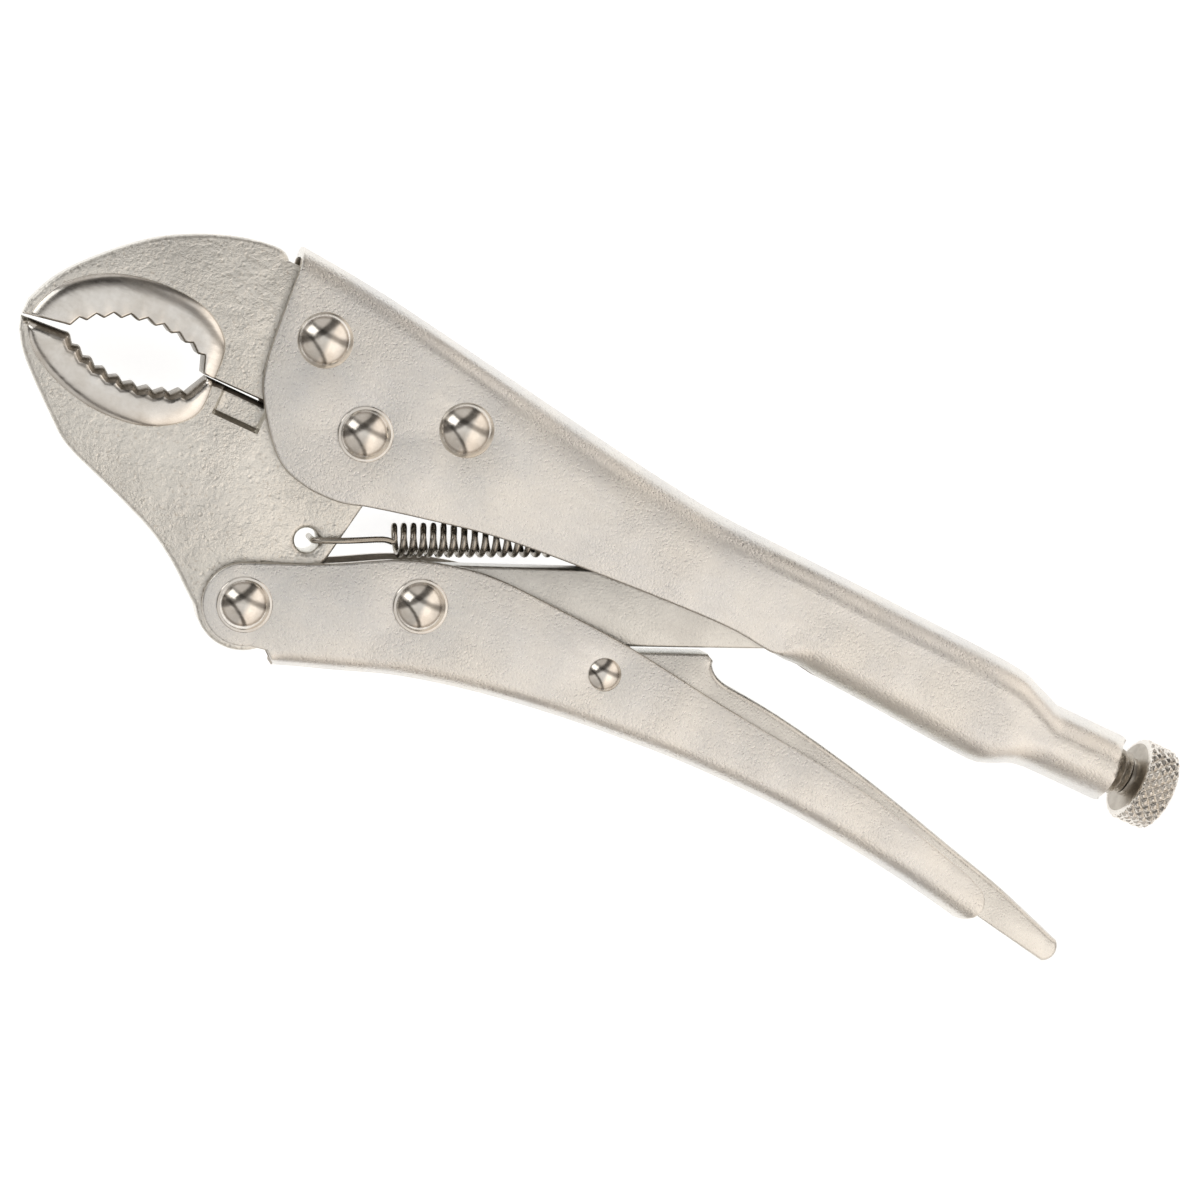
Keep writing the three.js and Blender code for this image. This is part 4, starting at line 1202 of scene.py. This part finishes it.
def world():
    """A pale studio, warmer and brighter towards the knob, with dark bands that the steel mirrors.

    The camera itself sees plain white.
    """
    w = Nodes(bpy.data.worlds.new("studio"), "Generated")
    bpy.context.scene.world = w.owner

    def bands(direction, stops):
        """Levels along the cosine towards a direction. The ramp runs from 0 to 1."""
        cosine = w.add("VectorMath", "Value", {0: w.place, 1: Vector(direction).normalized()},
                       operation="DOT_PRODUCT")
        colour = w.add("ValToRGB", "Color", {"Fac": w.range(cosine, -1, 1)})
        elements = colour.node.color_ramp.elements
        elements.remove(elements[0])
        for i, (at, level, warmth) in enumerate(stops):
            e = elements[0] if i == 0 else elements.new((at + 1) / 2)
            e.position = (at + 1) / 2
            e.color = (level, level * (1 - 0.5 * warmth), level * (1 - warmth), 1)
        return colour

    light = bands((1, 0, 0), CEILING)
    for direction, stops in [((0, 1, 0), ACROSS)] + FLAGS:
        light = w.mix(1, light, bands(direction, stops), "MULTIPLY")
    background = w.tree.nodes["Background"]
    w.put(background.inputs["Color"], w.mix(w.add("LightPath", "Is Camera Ray"), light, (1, 1, 1)))
    background.inputs["Strength"].default_value = WORLD_LEVEL


# Each stop is a cosine towards the direction, a level, and a warmth. Levels along x, then along y,
# then the three dark flags and the band along the horizon.
WORLD_LEVEL = 1.38
CEILING = [(-1.0, 0.66, 0.06), (-0.1, 0.58, 0.04), (0.08, 0.57, 0.04), (0.22, 0.74, 0.09),
           (0.38, 1.06, 0.14), (0.65, 1.02, 0.15), (1.0, 0.6, 0.16)]
ACROSS = [(-1.0, 0.62, 0.08), (-0.6, 0.74, 0.06), (-0.3, 0.9, 0.03), (0.0, 0.95, 0.0), (0.3, 0.9, 0.0),
          (1.0, 0.8, 0.0)]
FLAGS = [((-0.80, 0.60, 0), [(-1.0, 1.0, 0), (0.22, 1.0, 0), (0.36, 0.20, 0.08), (0.60, 0.14, 0.10),
                             (0.70, 0.85, 0.04), (1.0, 0.85, 0)]),
         ((0.10, 0.99, 0), [(-1.0, 1.0, 0), (0.13, 1.0, 0), (0.27, 0.34, 0.06), (0.42, 0.30, 0.06),
                            (0.56, 0.95, 0.04), (1.0, 1.0, 0.04)]),
         ((-0.50, -0.87, 0), [(-1.0, 1.0, 0), (0.42, 1.0, 0), (0.49, 0.18, 0.10), (0.58, 0.16, 0.10),
                              (0.66, 1.0, 0), (1.0, 1.0, 0)]),
         ((0.0, 0.0, 1.0), [(-1.0, 1.0, 0), (0.0, 0.8, 0.05), (0.03, 0.50, 0.12), (0.14, 0.55, 0.10),
                            (0.24, 1.0, 0), (1.0, 1.0, 0)])]
world()
bpy.context.scene.view_settings.view_transform = "Standard"


def softbox(name, direction, distance, width, height, energy):
    """A rectangular light that faces the jaw pivot."""
    data = bpy.data.lights.new(name, "AREA")
    data.shape = "RECTANGLE"
    data.size = width
    data.size_y = height
    data.energy = energy
    data.color = (1.0, 0.985, 0.96)
    obj = bpy.data.objects.new(name, data)
    towards = Vector(direction).normalized()
    obj.location = ORIGIN + towards * distance
    obj.rotation_euler = towards.to_track_quat("Z", "Y").to_euler()
    bpy.context.collection.objects.link(obj)


softbox("key_left", (-0.80, 0.22, 0.56), distance=0.9, width=0.36, height=0.56, energy=0.8)

CAMERA_AT = Vector((-79.95, 5.43, 576.61))
CAMERA_RIGHT = (0.88277535, 0.42584605, 0.19840069)
CAMERA_UP = (-0.40896355, 0.90441682, -0.12156905)
CAMERA_BACK = (-0.23120661, 0.02617951, 0.97255238)
data = bpy.data.cameras.new("camera")
data.sensor_width = 36
data.lens = 90
data.clip_start = 0.01
camera = bpy.data.objects.new("camera", data)
camera.matrix_world = (Matrix.Translation(ORIGIN + CAMERA_AT * MM)
                       @ Matrix((CAMERA_RIGHT, CAMERA_UP, CAMERA_BACK)).transposed().to_4x4())
bpy.context.collection.objects.link(camera)
bpy.context.scene.camera = camera
